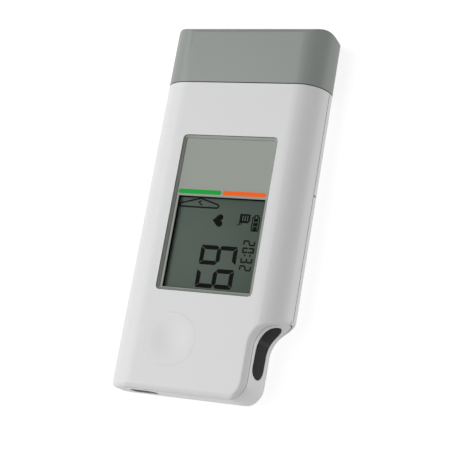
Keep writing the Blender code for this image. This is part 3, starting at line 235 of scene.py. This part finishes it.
shell_finish = plain_finish(
    "satin_white_shell", SHELL_WHITE, 0.42, 3200, 0.012 * MM, drift=0.012, painted_shade=(SIDE_JOINT_PAINTED_SHADE, CAP_JOINT_PAINTED_SHADE)
)
band_finish = plain_finish(
    "satin_band", BAND_GREY, 0.38, 3600, 0.008 * MM, drift=0.012, painted_shade=(PORT_RECESS_PAINTED_SHADE,)
)
cap_finish = plain_finish(
    "satin_grey_cap", CAP_GREY, 0.38, 3000, 0.014 * MM, drift=0.02, painted_shade=(CAP_JOINT_PAINTED_SHADE,)
)
button_finish = plain_finish("satin_white_button", SHELL_WHITE, 0.42, 3200, 0.012 * MM, drift=0.012)
black_finish = plain_finish(
    "black_moulding", MOULDING_BLACK, 0.48, 2600, 0.010 * MM, drift=0.10, gloss=0.3
)
gasket_finish = plain_finish(
    "black_foam_gasket", FOAM_BLACK, 0.85, 6000, 0.030 * MM, drift=0.2, gloss=0.0
)
glass_finish = plain_finish("display_glass", GLASS_GREEN, 0.30, 800, 0.001 * MM, drift=0.05, gloss=0.05)
ink_finish = plain_finish("display_ink", INK_BLACK, 0.45, 2500, 0.001 * MM, drift=0.2, gloss=0.0)
green_print = plain_finish("green_print", BAR_GREEN, 0.40, 4200, 0.002 * MM, drift=0.04, gloss=0.05)
orange_print = plain_finish("orange_print", BAR_ORANGE, 0.40, 4200, 0.002 * MM, drift=0.04, gloss=0.05)
panel_finish = plain_finish("printed_panel", PANEL_GREY, 0.36, 1500, 0.002 * MM, drift=0.02, gloss=0.1)

# %% [markdown]
# ## Rubber pad and stepped frame
# The finger pad is carbon-filled rubber, drawn round a bend, where it is a little glossier and its colour is
# lightened, a painted highlight.
# The frame round the window falls in fine steps, which a sine of the distance from the window's edge gives;
# its colour goes lighter and darker with the steps as painted light and shade, and its top side is painted
# lighter.

# %% Rubber pad and stepped frame
PAD_BEND_Y = -33.9
PAD_BEND_REACH = 0.75
WINDOW_MIDDLE_Y = -2.55
WINDOW_HALF = (12.29, 20.09)
STEP = 0.21


def pad_finish(name, colour):
    made, shader, wire, place = start_material(name)
    cloud = wire.node("TexNoise", Vector=place, Scale=160.0, Detail=3.0)
    fine = wire.node("TexNoise", Vector=place, Scale=5200.0, Detail=2.0)
    along = wire.node("SeparateXYZ", output="Y", Vector=place)
    away = wire.sum("ABSOLUTE", along - PAD_BEND_Y * MM)
    bend_gloss_and_painted_highlight = wire.node("MapRange", Value=away, From_Min=PAD_BEND_REACH * MM, From_Max=0.0)
    shown = blend(wire, cloud, shade(colour, 0.85), shade(colour, 1.15))
    # painted highlight: the colour is lightened round the bend
    wire.plug(shader, "Base Color", blend(wire, bend_gloss_and_painted_highlight, shown, shade(colour, 2.3)))
    wire.plug(shader, "Roughness", 0.60 + (fine - 0.5) * 0.10 - bend_gloss_and_painted_highlight * 0.08)
    wire.plug(shader, "Normal", wire.node("Bump", Height=fine, Strength=0.5, Distance=0.012 * MM))
    wire.plug(shader, "Specular IOR Level", 0.1)
    print("finish", name)
    return made


def stepped_finish(name, colour):
    made, shader, wire, place = start_material(name)
    across = wire.sum("ABSOLUTE", wire.node("SeparateXYZ", output="X", Vector=place))
    along = wire.node("SeparateXYZ", output="Y", Vector=place)
    beyond = wire.sum("ABSOLUTE", along - WINDOW_MIDDLE_Y * MM) - WINDOW_HALF[1] * MM
    outwards = wire.sum("MAXIMUM", across - WINDOW_HALF[0] * MM, beyond)
    steps = wire.sum("SINE", outwards * (math.tau / (STEP * MM))) * 0.5 + 0.5
    # painted light and shade: the colour goes lighter and darker with the steps
    shown = blend(wire, steps, shade(colour, 0.72), shade(colour, 1.22))
    # painted light: the frame's top side is made lighter
    upper = along > (WINDOW_MIDDLE_Y + WINDOW_HALF[1] - 0.01) * MM
    wire.plug(shader, "Base Color", blend(wire, upper, shown, shade(colour, 1.20)))
    wire.plug(shader, "Roughness", 0.36 + steps * 0.12)
    wire.plug(shader, "Normal", wire.node("Bump", Height=steps, Strength=0.5, Distance=0.03 * MM))
    print("finish", name)
    return made


rubber_finish = pad_finish("dark_carbon_rubber", (0.013, 0.013, 0.014))
bezel_finish = stepped_finish("stepped_frame", (0.270, 0.290, 0.265))

# %% [markdown]
# ## Metal
# Turned and stamped metal has fine lines in one direction. A noise that is stretched along one axis
# gives those lines, and they go into the bump and the roughness only, because metal has no shadow colour.


# %% Metal
def brushed_metal(name, colour, rough, stretch, height):
    made, shader, wire, place = start_material(name)
    lines_place = wire.node("Mapping", Vector=place, Scale=stretch)
    lines = wire.node("TexNoise", Vector=lines_place, Scale=1.0, Detail=4.0)
    cloud = wire.node("TexNoise", Vector=place, Scale=180.0, Detail=2.0)
    wire.plug(shader, "Base Color", blend(wire, cloud, shade(colour, 0.92), shade(colour, 1.06)))
    wire.plug(shader, "Roughness", rough + (lines - 0.5) * 0.20)
    wire.plug(shader, "Normal", wire.node("Bump", Height=lines, Strength=0.4, Distance=height))
    wire.plug(shader, "Metallic", 1.0)
    print("metal", name)
    return made


# Each metal: its colour, its roughness, the lines in a metre along X, Y and Z, and the lines' depth.
plate_metal = brushed_metal("brushed_steel_plate", (0.62, 0.62, 0.60), 0.30, (300, 9000, 9000), 0.006 * MM)
cell_metal = brushed_metal("stamped_cell_steel", (0.66, 0.66, 0.65), 0.24, (6000, 400, 400), 0.004 * MM)
port_metal = brushed_metal("port_steel", (0.55, 0.55, 0.54), 0.32, (3000, 300, 3000), 0.004 * MM)
screw_metal = brushed_metal("screw_steel", (0.50, 0.50, 0.50), 0.34, (5000, 5000, 500), 0.006 * MM)
gilt_metal = brushed_metal("gilt_leaf", (0.80, 0.60, 0.30), 0.26, (4000, 400, 4000), 0.003 * MM)

# %% [markdown]
# ## Clear window
# The window is thin and flat, so its looks are a faint reflection over what lies behind. A mix of a clear
# and a glossy shader by the Fresnel share shows that, with no bending of light to shift the digits below.


# %% Clear window
def clear_finish():
    made, shader, wire, place = start_material("clear_window")
    tree = made.node_tree
    smear = wire.node("TexNoise", Vector=place, Scale=90.0, Detail=3.0)
    share = wire.node("Fresnel", IOR=1.45) * (0.04 + smear * 0.06)
    clear = wire.node("BsdfTransparent", Color=(0.985, 0.99, 0.985, 1))
    wire.plug(shader, "Roughness", 0.10 + smear * 0.06)
    shader.inputs["Base Color"].default_value = (0.9, 0.9, 0.9, 1)
    mixed = wire.node("MixShader", i0=share, i1=clear, i2=Wire(tree, shader.outputs[0]))
    wire.plug(tree.nodes["Material Output"], "Surface", mixed)
    return made


window_finish = clear_finish()
print("window finish has", len(window_finish.node_tree.nodes), "nodes")

# %% [markdown]
# ## Board and connector
# A circuit board is green lacquer over copper lines, so its pattern is a grid of thin steps that show
# through as a lighter green. The connector's rubber is striped across its length.


# %% Board and connector
LACQUER, LACQUER_OVER_COPPER = (0.020, 0.110, 0.050, 1), (0.070, 0.300, 0.120, 1)
CLEAR_RUBBER, CARBON_RUBBER = (0.30, 0.28, 0.27, 1), (0.03, 0.03, 0.03, 1)
STRIPES = 16000.0


def board_material():
    made, shader, wire, place = start_material("lacquered_board")
    bricks = {"offset": 0.37, "squash": 1.7}
    across = wire.node("TexBrick", bricks, output="Fac", Vector=place, Scale=420.0, Mortar_Size=0.02)
    cloud = wire.node("TexNoise", Vector=place, Scale=240.0)
    wire.plug(shader, "Base Color", blend(wire, across, LACQUER, LACQUER_OVER_COPPER))
    wire.plug(shader, "Roughness", 0.34 + cloud * 0.15)
    wire.plug(shader, "Normal", wire.node("Bump", Height=across, Strength=0.4, Distance=0.02 * MM))
    return made


def striped_rubber():
    made, shader, wire, place = start_material("striped_rubber")
    split = wire.node("SeparateXYZ", Vector=place)
    stripes = wire.sum("SINE", split * STRIPES) > 0.0
    wire.plug(shader, "Base Color", blend(wire, stripes, CLEAR_RUBBER, CARBON_RUBBER))
    wire.plug(shader, "Roughness", 0.62 + stripes * 0.1)
    return made


board_finish, connector_finish = board_material(), striped_rubber()
print("board and connector done")

# %% [markdown]
# ## Skins over the shells
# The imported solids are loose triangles, each with its own flat shade. A welded copy of a shell can be
# shaded smoothly: flat stretches become one face, corners sharper than a limit stay sharp, and the
# Weighted Normal modifier lets the big flat faces decide how the edges beside them look.

# %% Skins over the shells
SHARP = math.radians(34)


def add_piece(name, bm, body, finish):
    """Makes a piece of a bmesh, gives it its finish and lets it ride on its body."""
    mesh = bpy.data.meshes.new(name)
    bm.to_mesh(mesh)
    bm.free()
    piece = bpy.data.objects.new(name, mesh)
    scene.collection.objects.link(piece)
    mesh.materials.append(finish)
    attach(piece, body)
    return piece


def shade_round(bm, limit=SHARP):
    for face in bm.faces:
        face.smooth = True
    for edge in bm.edges:
        edge.smooth = len(edge.link_faces) == 2 and edge.calc_face_angle(0) < limit


def weigh_normals(piece):
    modifier = piece.modifiers.new("even shading", "WEIGHTED_NORMAL")
    modifier.keep_sharp = True
    modifier.weight = 100


def welded(node):
    """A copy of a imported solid, with its triangles joined into whole faces."""
    bm = bmesh.new()
    bm.from_mesh(frame["nodes"][node].data)
    bmesh.ops.remove_doubles(bm, verts=bm.verts, dist=0.001 * MM)
    bmesh.ops.dissolve_limit(bm, angle_limit=math.radians(0.4), verts=bm.verts, edges=bm.edges)
    shade_round(bm)
    return bm


def skin(node, name, finish, bm):
    """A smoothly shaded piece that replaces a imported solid."""
    source = frame["nodes"][node]
    piece = add_piece(name, bm, source["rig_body"], finish)
    weigh_normals(piece)
    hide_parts(node)
    print(name, len(piece.data.polygons), "faces")
    return piece


SKINS = {
    "rear_shell": ("rear_cover", shell_finish),
    "end_band": ("end_strip", band_finish),
    "finger_electrode": ("finger_pad", rubber_finish),
    "protective_cap": ("cap_cover", cap_finish),
    "battery_door": ("battery_cover", shell_finish),
    "display_bezel": ("bezel_ring", bezel_finish),
    "chest_electrode": ("chest_plate", plate_metal),
    "data_port": ("port_sleeve", port_metal),
    "coin_cell_1": ("cell_can_1", cell_metal),
    "coin_cell_2": ("cell_can_2", cell_metal),
}
for node, (name, finish) in SKINS.items():
    skin(node, name, finish, welded(node))

# %% [markdown]
# ## Front cover
# Where the bevel along the finger notch runs out round the lower corner, the moulding has no crease. So the
# copy of the front cover has its thin triangles merged there, and the edges of that corner are all smooth.

# %% Front cover
CORNER_LOW = Vector((10.5, -49.3, 10.1)) * MM
CORNER_HIGH = Vector((14.2, -45.3, 11.7)) * MM


def in_corner(point):
    return all(low <= p <= high for low, p, high in zip(CORNER_LOW, point, CORNER_HIGH))


bm = welded("front_shell")
corner_points = [point for point in bm.verts if in_corner(point.co)]
bmesh.ops.remove_doubles(bm, verts=corner_points, dist=0.06 * MM)
shade_round(bm)
for edge in bm.edges:
    if all(in_corner(point.co) for point in edge.verts) and len(edge.link_faces) == 2:
        edge.smooth = edge.calc_face_angle(0) < math.radians(60)
skin("front_shell", "front_cover", shell_finish, bm)

# %% [markdown]
# ## Solids that only need a finish
# Boxes, screws and leaves have the right shape already, so their own material slot is given a better one.

# %% Solids that only need a finish
FINISHES = {
    "display_window": window_finish,
    "display_mask": panel_finish,
    "lcd_glass": glass_finish,
    "lcd_holder": black_finish,
    "lcd_connector": connector_finish,
    "main_board": board_finish,
    "processor_chip": black_finish,
    "amplifier_chip": black_finish,
    "radio_module": port_metal,
    "switch_body": black_finish,
    "switch_plunger": black_finish,
    "chest_lead": gilt_metal,
    "finger_lead": gilt_metal,
    "minus_contact_1": gilt_metal,
    "minus_contact_2": gilt_metal,
    "plus_contact_1": gilt_metal,
    "plus_contact_2": gilt_metal,
}
for side in ("left", "right"):
    for row in ("upper", "lower"):
        FINISHES[f"housing_screw_{row}_{side}"] = screw_metal
for node, finish in FINISHES.items():
    frame["nodes"][node].material_slots[0].material = finish
print(len(FINISHES), "nodes keep their own mesh")

# %% [markdown]
# ## Thumb button
# The button is a membrane that fades into the front face. Its profile is spun round its axis: flat at the
# rim, then falling along a cosine so that no ring of shade shows where the dish begins.

# %% Thumb button
low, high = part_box("start_button")
BUTTON_MIDDLE = (low + high) / 2
BUTTON_TOP = high.z
DISH_RADIUS = 6.55 * MM
BUTTON_LIP = 6.83 * MM
DISH_DEPTH = 0.27 * MM
DISH_STEPS = 14
SPIN_STEPS = 96
LIP_DEPTH = 0.6 * MM
NECK_RADIUS = 6.7 * MM
FLANGE_RADIUS = 7.5 * MM
FLANGE_LOW, FLANGE_HIGH = low.z + 0.3 * MM, low.z + 0.9 * MM
STEM_RADIUS = 1.6 * MM


def spun(profile, middle):
    """A profile of (radius, height) points spun round an upright axis."""
    bm = bmesh.new()
    points = [bm.verts.new((radius, 0, height)) for radius, height in profile]
    edges = [bm.edges.new(pair) for pair in zip(points, points[1:])]
    bmesh.ops.spin(
        bm, geom=points + edges, cent=(0, 0, 0), axis=(0, 0, 1), angle=math.tau,
        steps=SPIN_STEPS, use_merge=True,
    )
    bmesh.ops.remove_doubles(bm, verts=bm.verts, dist=0.001 * MM)
    bmesh.ops.translate(bm, verts=bm.verts, vec=(middle.x, middle.y, 0))
    bmesh.ops.recalc_face_normals(bm, faces=bm.faces)
    shade_round(bm)
    return bm


def dish_point(step):
    share = step / DISH_STEPS
    return DISH_RADIUS * share, BUTTON_TOP - DISH_DEPTH * (1 + math.cos(math.pi * share)) / 2


dish = [dish_point(step) for step in range(DISH_STEPS + 1)]
skirt = [
    (BUTTON_LIP, BUTTON_TOP),
    (BUTTON_LIP, BUTTON_TOP - LIP_DEPTH),
    (NECK_RADIUS, BUTTON_TOP - LIP_DEPTH - 0.1 * MM),
    (NECK_RADIUS, FLANGE_HIGH),
    (FLANGE_RADIUS, FLANGE_HIGH),
    (FLANGE_RADIUS, FLANGE_LOW),
    (STEM_RADIUS, FLANGE_LOW),
    (STEM_RADIUS, low.z),
    (0, low.z),
]
button_mesh = spun(dish + skirt, BUTTON_MIDDLE)
thumb_button = add_piece("thumb_button", button_mesh, "start_key", button_finish)
weigh_normals(thumb_button)
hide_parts("start_button")
print("thumb button", len(thumb_button.data.polygons), "faces, top at", BUTTON_TOP)

# %% [markdown]
# ## Flat shapes
# Prints and display segments are thin flat shapes. A face is made from a few corners, extruded by its
# thickness and lifted into place. An open shape, such as an icon's outline, is a face that is inset first.


# %% Flat shapes
def thickened(name, bm, thickness, body, finish):
    """Gives flat faces a thickness, upwards, and makes them a piece."""
    made = bmesh.ops.extrude_face_region(bm, geom=bm.faces[:])
    lifted = [part for part in made["geom"] if isinstance(part, bmesh.types.BMVert)]
    bmesh.ops.translate(bm, verts=lifted, vec=(0, 0, thickness))
    bmesh.ops.recalc_face_normals(bm, faces=bm.faces)
    piece = add_piece(name, bm, body, finish)
    print(name, len(piece.data.polygons), "faces")
    return piece


def flat_shapes(name, outlines, bottom, thickness, body, finish, rim=0.0):
    """Thin flat shapes in one piece. With a rim, each is only an outline that wide."""
    bm = bmesh.new()
    for outline in outlines:
        face = bm.faces.new([bm.verts.new((x * MM, y * MM, bottom)) for x, y in outline])
        if rim:
            face.normal_update()
            bmesh.ops.inset_individual(bm, faces=[face], thickness=rim * MM, use_even_offset=True)
            bmesh.ops.delete(bm, geom=[face], context="FACES")
    return thickened(name, bm, thickness, body, finish)


def arc_points(centre, radius, start, end, steps=8):
    """Corners along an arc, in degrees."""
    angles = [math.radians(start + (end - start) * i / steps) for i in range(steps + 1)]
    return [(centre[0] + radius * math.cos(a), centre[1] + radius * math.sin(a)) for a in angles]


def rounded_bar(x_low, x_high, middle, width):
    """A bar with half-round ends, along X."""
    half = width / 2
    right = arc_points((x_high - half, middle), half, -90, 90)
    return right + arc_points((x_low + half, middle), half, 90, 270)


# %% [markdown]
# ## Print on the window
# The window's front carries a grey-green print, open over the glass, and on it a green and an orange bar.
# The print is a ring between two outlines with as many corners, so bridging the two makes its face.

# %% Print on the window
WINDOW_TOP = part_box("display_window")[1].z
frame_low, frame_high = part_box("display_bezel")
PRINT_THICKNESS = 0.02 * MM
PRINT_INSET = 0.62
OPENING_X = (-11.77, 12.33)
OPENING_Y = (-22.58, 1.90)


def loop_edges(bm, outline, height):
    """The edges of an outline given in millimetres."""
    points = [bm.verts.new((x * MM, y * MM, height)) for x, y in outline]
    return [bm.edges.new(pair) for pair in zip(points, points[1:] + points[:1])]


def corners(x_range, y_range):
    (left, right), (lower, upper) = x_range, y_range
    return [(left, lower), (right, lower), (right, upper), (left, upper)]


print_x = (frame_low.x / MM + PRINT_INSET, frame_high.x / MM - PRINT_INSET)
print_y = (frame_low.y / MM + PRINT_INSET, frame_high.y / MM - PRINT_INSET)
bm = bmesh.new()
PRINT_BOTTOM = WINDOW_TOP + 0.005 * MM
outer = loop_edges(bm, corners(print_x, print_y), PRINT_BOTTOM)
inner = loop_edges(bm, corners(OPENING_X, OPENING_Y), PRINT_BOTTOM)
bmesh.ops.bridge_loops(bm, edges=outer + inner)
thickened("window_print", bm, PRINT_THICKNESS, "housing", panel_finish)

BAR_MIDDLE = 3.07
BAR_HEIGHT = 1.2
BARS = (("green_bar", -12.15, -0.04, green_print), ("orange_bar", 0.30, 12.28, orange_print))
for name, start, end, finish in BARS:
    bar = rounded_bar(start, end, BAR_MIDDLE, BAR_HEIGHT)
    flat_shapes(name, [bar], PRINT_BOTTOM + PRINT_THICKNESS, PRINT_THICKNESS, "housing", finish)

# %% [markdown]
# ## Upper glass
# A liquid crystal lies between two plates of glass. The upper one is smaller, so that it stands up into the
# opening, and the dark marks show right under its face. Its edges are bevelled as cut glass is.
# The bevel operator makes them on the mesh itself, so no modifier is needed.

# %% Upper glass
lower_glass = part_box("lcd_glass")[1].z
UPPER_GLASS_X = (-11.95, 11.95)
UPPER_GLASS_Y = (-22.30, 1.99)
UPPER_GLASS_THICKNESS = 0.86 * MM
GLASS_BEVEL = 0.06 * MM
bm = bmesh.new()
loop_edges(bm, corners(UPPER_GLASS_X, UPPER_GLASS_Y), lower_glass + 0.01 * MM)
bmesh.ops.contextual_create(bm, geom=bm.edges[:])
made = bmesh.ops.extrude_face_region(bm, geom=bm.faces[:])
lifted = [part for part in made["geom"] if isinstance(part, bmesh.types.BMVert)]
bmesh.ops.translate(bm, verts=lifted, vec=(0, 0, UPPER_GLASS_THICKNESS))
bmesh.ops.recalc_face_normals(bm, faces=bm.faces)
bmesh.ops.bevel(
    bm, geom=bm.edges[:], offset=GLASS_BEVEL, segments=2, affect="EDGES", profile=0.5, material=-1
)
shade_round(bm)
upper_glass = add_piece("upper_glass", bm, "housing", glass_finish)
print("upper glass", len(upper_glass.data.polygons), "faces")

# %% [markdown]
# ## Display digits
# A seven-segment digit is the same seven shapes every time, and a digit is which of them are dark.
# The digits stand across the monitor: their tops point to +X and they are read towards the port end.
# Their places were read from the photograph as if they lay on the lower glass. On the upper one they stand
# higher, so each is moved a little along the line of sight, MARK_SHIFT, to look the same from the camera.

# %% Display digits
GLASS_TOP = lower_glass + 0.01 * MM + UPPER_GLASS_THICKNESS
MARK_SHIFT = (0.39, -0.25)
INK_THICKNESS = 0.02 * MM
LIT = {"0": "abcdef", "2": "abged", "3": "abgcd", "6": "afgedc", "9": "abfgcd"}


def segments(height, width, bar, gap):
    """Corners of the seven segments, as (rightwards, upwards) from the digit's lower left."""
    middle, half = height / 2, bar / 2
    upper_left = [
        (0, height - gap - half / 2), (bar / 4, height - gap), (bar, height - gap - bar),
        (bar, middle + half + gap), (half, middle + gap), (0, middle + half + gap),
    ]
    top = [
        (gap + bar / 3, height), (width - gap - bar / 3, height),
        (width - gap - bar, height - bar), (gap + bar, height - bar),
    ]
    centre = [
        (half + gap, middle), (bar + gap, middle + half), (width - bar - gap, middle + half),
        (width - half - gap, middle), (width - bar - gap, middle - half), (bar + gap, middle - half),
    ]

    def flip(points):
        return [(x, height - y) for x, y in points]

    def mirror(points):
        return [(width - x, y) for x, y in points]

    return {
        "a": top, "b": mirror(upper_left), "c": mirror(flip(upper_left)), "d": flip(top),
        "e": flip(upper_left), "f": upper_left, "g": centre,
    }


def digit(figure, x, y, height, width, bar, gap):
    """The dark segments of a figure whose lower left corner is at x, y."""
    shapes = segments(height, width, bar, gap)
    return [[(x + up, y - along) for along, up in shapes[name]] for name in LIT[figure]]


def on_glass(name, outlines, rim=0.0, lift=0.0, finish=ink_finish):
    """Marks on the upper glass, whose corners were measured on the lower one."""
    moved = [[(x + MARK_SHIFT[0], y + MARK_SHIFT[1]) for x, y in outline] for outline in outlines]
    return flat_shapes(name, moved, GLASS_TOP + lift, INK_THICKNESS, "housing", finish, rim)


PULSE_SIZE = {"height": 10.1, "width": 5.15, "bar": 1.12, "gap": 0.09}
CLOCK_SIZE = {"height": 3.22, "width": 1.50, "bar": 0.42, "gap": 0.03}
PULSE_FOOT, CLOCK_FOOT = -3.70, 7.52
COLON_Y, COLON_DOT = -12.44, 0.26
on_glass("pulse_digit_6", digit("6", PULSE_FOOT, -10.40, **PULSE_SIZE))
on_glass("pulse_digit_9", digit("9", PULSE_FOOT, -16.45, **PULSE_SIZE))
clock = []
for figure, y in (("2", -8.45), ("0", -10.35), ("3", -12.95), ("2", -15.00)):
    clock += digit(figure, CLOCK_FOOT, y, **CLOCK_SIZE)
for x in (8.45, 9.88):
    clock.append(arc_points((x, COLON_Y), COLON_DOT, 0, 330, 11))
on_glass("clock_digits", clock)

# %% [markdown]
# ## Display icons
# Four small signs sit beside the digits: a pointer to the colour bars, a heart for the pulse, a page for
# the memory and a cell for the charge. Each is an outline or a few flat shapes.

# %% Display icons
pointer = (
    arc_points((-11.40, -0.05), 0.70, 100, 250, 6)
    + arc_points((-1.50, -0.02), 0.70, -85, 70, 6)
    + [(-6.10, 2.06), (-6.40, 2.06)]
)
on_glass("pointer_outline", [pointer], rim=0.40)
chevron = [(-6.86, 0.82), (-6.16, 1.44), (-5.92, 1.16), (-6.36, 0.80), (-5.50, 0.16), (-5.74, -0.12)]
on_glass("pointer_chevron", [chevron])

HEART_MIDDLE = (-0.35, -3.75)
HEART_SCALE = 0.105
HEART_STEPS = 36
heart = []
for step in range(HEART_STEPS):
    t = math.tau * step / HEART_STEPS
    across = 16 * math.sin(t) ** 3
    up = 13 * math.cos(t) - 5 * math.cos(2 * t) - 2 * math.cos(3 * t) - math.cos(4 * t)
    heart.append((HEART_MIDDLE[0] + up * HEART_SCALE, HEART_MIDDLE[1] - across * HEART_SCALE))
on_glass("pulse_heart", [heart])

page = [(5.42, -4.02), (7.75, -4.02), (8.25, -3.55), (8.25, -1.62), (5.42, -1.62)]
page_bars = [corners((x, x + 0.24), (-3.45, -2.10)) for x in (6.15, 6.80, 7.45)]
on_glass("memory_page", [page])
on_glass("memory_page_lines", page_bars, lift=INK_THICKNESS, finish=glass_finish)
on_glass("memory_lens", [arc_points((5.72, -4.12), 0.42, 0, 337.5, 15)], rim=0.22)
handle = [(5.50, -4.42), (5.38, -4.54), (5.02, -4.90), (4.88, -4.76), (5.24, -4.40), (5.36, -4.28)]
on_glass("memory_lens_handle", [handle])

cell_outline = [
    (9.35, -2.20), (9.35, -1.74), (10.45, -1.74), (10.45, -2.20), (10.78, -2.20), (10.98, -2.40),
    (10.98, -5.85), (10.75, -6.10), (9.05, -6.10), (8.82, -5.85), (8.82, -2.40), (9.02, -2.20),
]
on_glass("cell_outline", [cell_outline], rim=0.30)
CELL_BAR_X, CELL_BAR_HEIGHT = (9.32, 10.48), 0.94
on_glass("cell_bars", [corners(CELL_BAR_X, (y - CELL_BAR_HEIGHT, y)) for y in (-2.62, -3.76, -4.90)])

# %% [markdown]
# ## Gasket behind the window
# A thin black gasket lines the step between the printed panel and the glass. It throws the dark edge that
# the display shows along its upper and left sides.

# %% Gasket behind the window
mask_low, mask_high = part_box("display_mask")
GASKET_X = (-12.04, 12.45)
GASKET_Y = (-22.60, 2.08)
GASKET_BOTTOM = GLASS_TOP + 0.03 * MM
GASKET_TOP = mask_low.z - 0.01 * MM
GASKET_RIM = 0.34
flat_shapes(
    "display_gasket", [corners(GASKET_X, GASKET_Y)], GASKET_BOTTOM, GASKET_TOP - GASKET_BOTTOM,
    "housing", gasket_finish, rim=GASKET_RIM,
)
print("panel at", mask_low.z, mask_high.z, "glass at", GLASS_TOP)

# %% [markdown]
# ## Signs on the cells
# The can of a coin cell is its plus side, and a plus sign is stamped there, so that it can be laid in right.

# %% Signs on the cells
SIGN_REACH, SIGN_HALF = 2.2, 0.3
SIGN_THICKNESS = 0.03 * MM
for number in (1, 2):
    low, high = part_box(f"coin_cell_{number}")
    x, y = (low.x + high.x) / 2 / MM, (low.y + high.y) / 2 / MM
    thin = (x - SIGN_HALF, x + SIGN_HALF)
    bars = [
        corners((x - SIGN_REACH, x + SIGN_REACH), (y - SIGN_HALF, y + SIGN_HALF)),
        corners(thin, (y + SIGN_HALF, y + SIGN_REACH)),
        corners(thin, (y - SIGN_REACH, y - SIGN_HALF)),
    ]
    bottom = low.z - SIGN_THICKNESS
    flat_shapes(f"cell_sign_{number}", bars, bottom, SIGN_THICKNESS, "housing", port_metal)

# %% [markdown]
# ## Port contacts
# Inside the small socket, five gilt contacts lie on the tongue.

# %% Port contacts
port_low, port_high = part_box("data_port")
PORT_MIDDLE = (port_low + port_high) / 2
CONTACT_PITCH = 0.65 * MM
CONTACT_SIZE = Vector((0.36, 2.4, 0.10)) * MM
CONTACT_Y = port_high.y - 2.2 * MM
CONTACT_Z = PORT_MIDDLE.z + 0.33 * MM
bm = bmesh.new()
for i in range(5):
    cube = bmesh.ops.create_cube(bm, size=1.0)["verts"]
    bmesh.ops.scale(bm, verts=cube, vec=CONTACT_SIZE)
    x = PORT_MIDDLE.x + (i - 2) * CONTACT_PITCH
    bmesh.ops.translate(bm, verts=cube, vec=(x, CONTACT_Y, CONTACT_Z))
bmesh.ops.bevel(
    bm, geom=bm.edges[:], offset=0.03 * MM, segments=1, affect="EDGES", profile=0.5, material=-1
)
shade_round(bm)
add_piece("port_contacts", bm, "housing", gilt_metal)
print("port contacts at", tuple(PORT_MIDDLE))

# %% [markdown]
# ## Studio
# The floor and the room are white. Only what the camera or a mirror sees of the floor is lifted to white,
# so the light on the monitor stays at a plain level and the floor still darkens in its shadow. The floor lets
# the low light from the right through, as a light table would, and seen from below it is clear.

# %% Studio
ROOM_LIGHT = 0.19
TABLE_GLOW = 0.27
FLOOR_LIFT = 0.60
FLOOR_GREY = (0.26, 0.26, 0.26, 1)
FLOOR_SIZE = 4.0
WHITE = (1, 1, 1, 1)
SEEN_RAYS = ("Camera", "Glossy", "Transmission")


def camera_share(wire):
    """1 for what the camera, a mirror or clear glass sees, and 0 for the light that bounces."""
    camera_ray, glossy, through = [wire.node("LightPath", output=f"Is {kind} Ray") for kind in SEEN_RAYS]
    return wire.sum("MAXIMUM", camera_ray, wire.sum("MAXIMUM", glossy, through))


def floor_material():
    made, shader, wire, place = start_material("pale_floor")
    tree = made.node_tree
    diffuse = wire.node("BsdfDiffuse", Color=FLOOR_GREY)
    glow = wire.node("Emission", Color=WHITE, Strength=camera_share(wire) * FLOOR_LIFT + TABLE_GLOW)
    lit = wire.node("AddShader", i0=diffuse, i1=glow)
    below = wire.node("NewGeometry", output="Backfacing")
    clear = wire.node("BsdfTransparent", Color=WHITE)
    wire.plug(tree.nodes["Material Output"], "Surface", wire.node("MixShader", i0=below, i1=lit, i2=clear))
    tree.nodes.remove(shader)
    return made


bm = bmesh.new()
bmesh.ops.create_grid(bm, x_segments=1, y_segments=1, size=FLOOR_SIZE)
floor_mesh = bpy.data.meshes.new("floor")
bm.to_mesh(floor_mesh)
bm.free()
floor = bpy.data.objects.new("floor", floor_mesh)
scene.collection.objects.link(floor)
floor.location = (0, 0, CAD_BOX[0][2] - 0.05 * MM)
floor_mesh.materials.append(floor_material())
floor.visible_shadow = False

world = bpy.data.worlds.new("white_room")
scene.world = world
world.use_nodes = True
wire = Wire(world.node_tree)
background = world.node_tree.nodes["Background"]
background.inputs["Color"].default_value = WHITE
seen = camera_share(wire)
wire.plug(background, "Strength", seen + (1 - seen) * ROOM_LIGHT)


def sun(name, strength, towards, angle):
    lamp = bpy.data.lights.new(name, "SUN")
    lamp.energy, lamp.angle = strength, math.radians(angle)
    made = bpy.data.objects.new(name, lamp)
    scene.collection.objects.link(made)
    made.rotation_euler = (-Vector(towards)).to_track_quat("-Z", "Y").to_euler()


sun("upper_left_softbox", 2.22, (-0.59, 0.06, 0.81), 50)
sun("left_card", 0.30, (-1.0, 0.0, 0.10), 40)
sun("right_table_light", 1.45, (1.0, 0.05, -0.30), 40)
sun("front_card", 0.90, (-0.50, -0.86, 0.05), 50)
scene.view_settings.view_transform = "Standard"
print("studio ready")
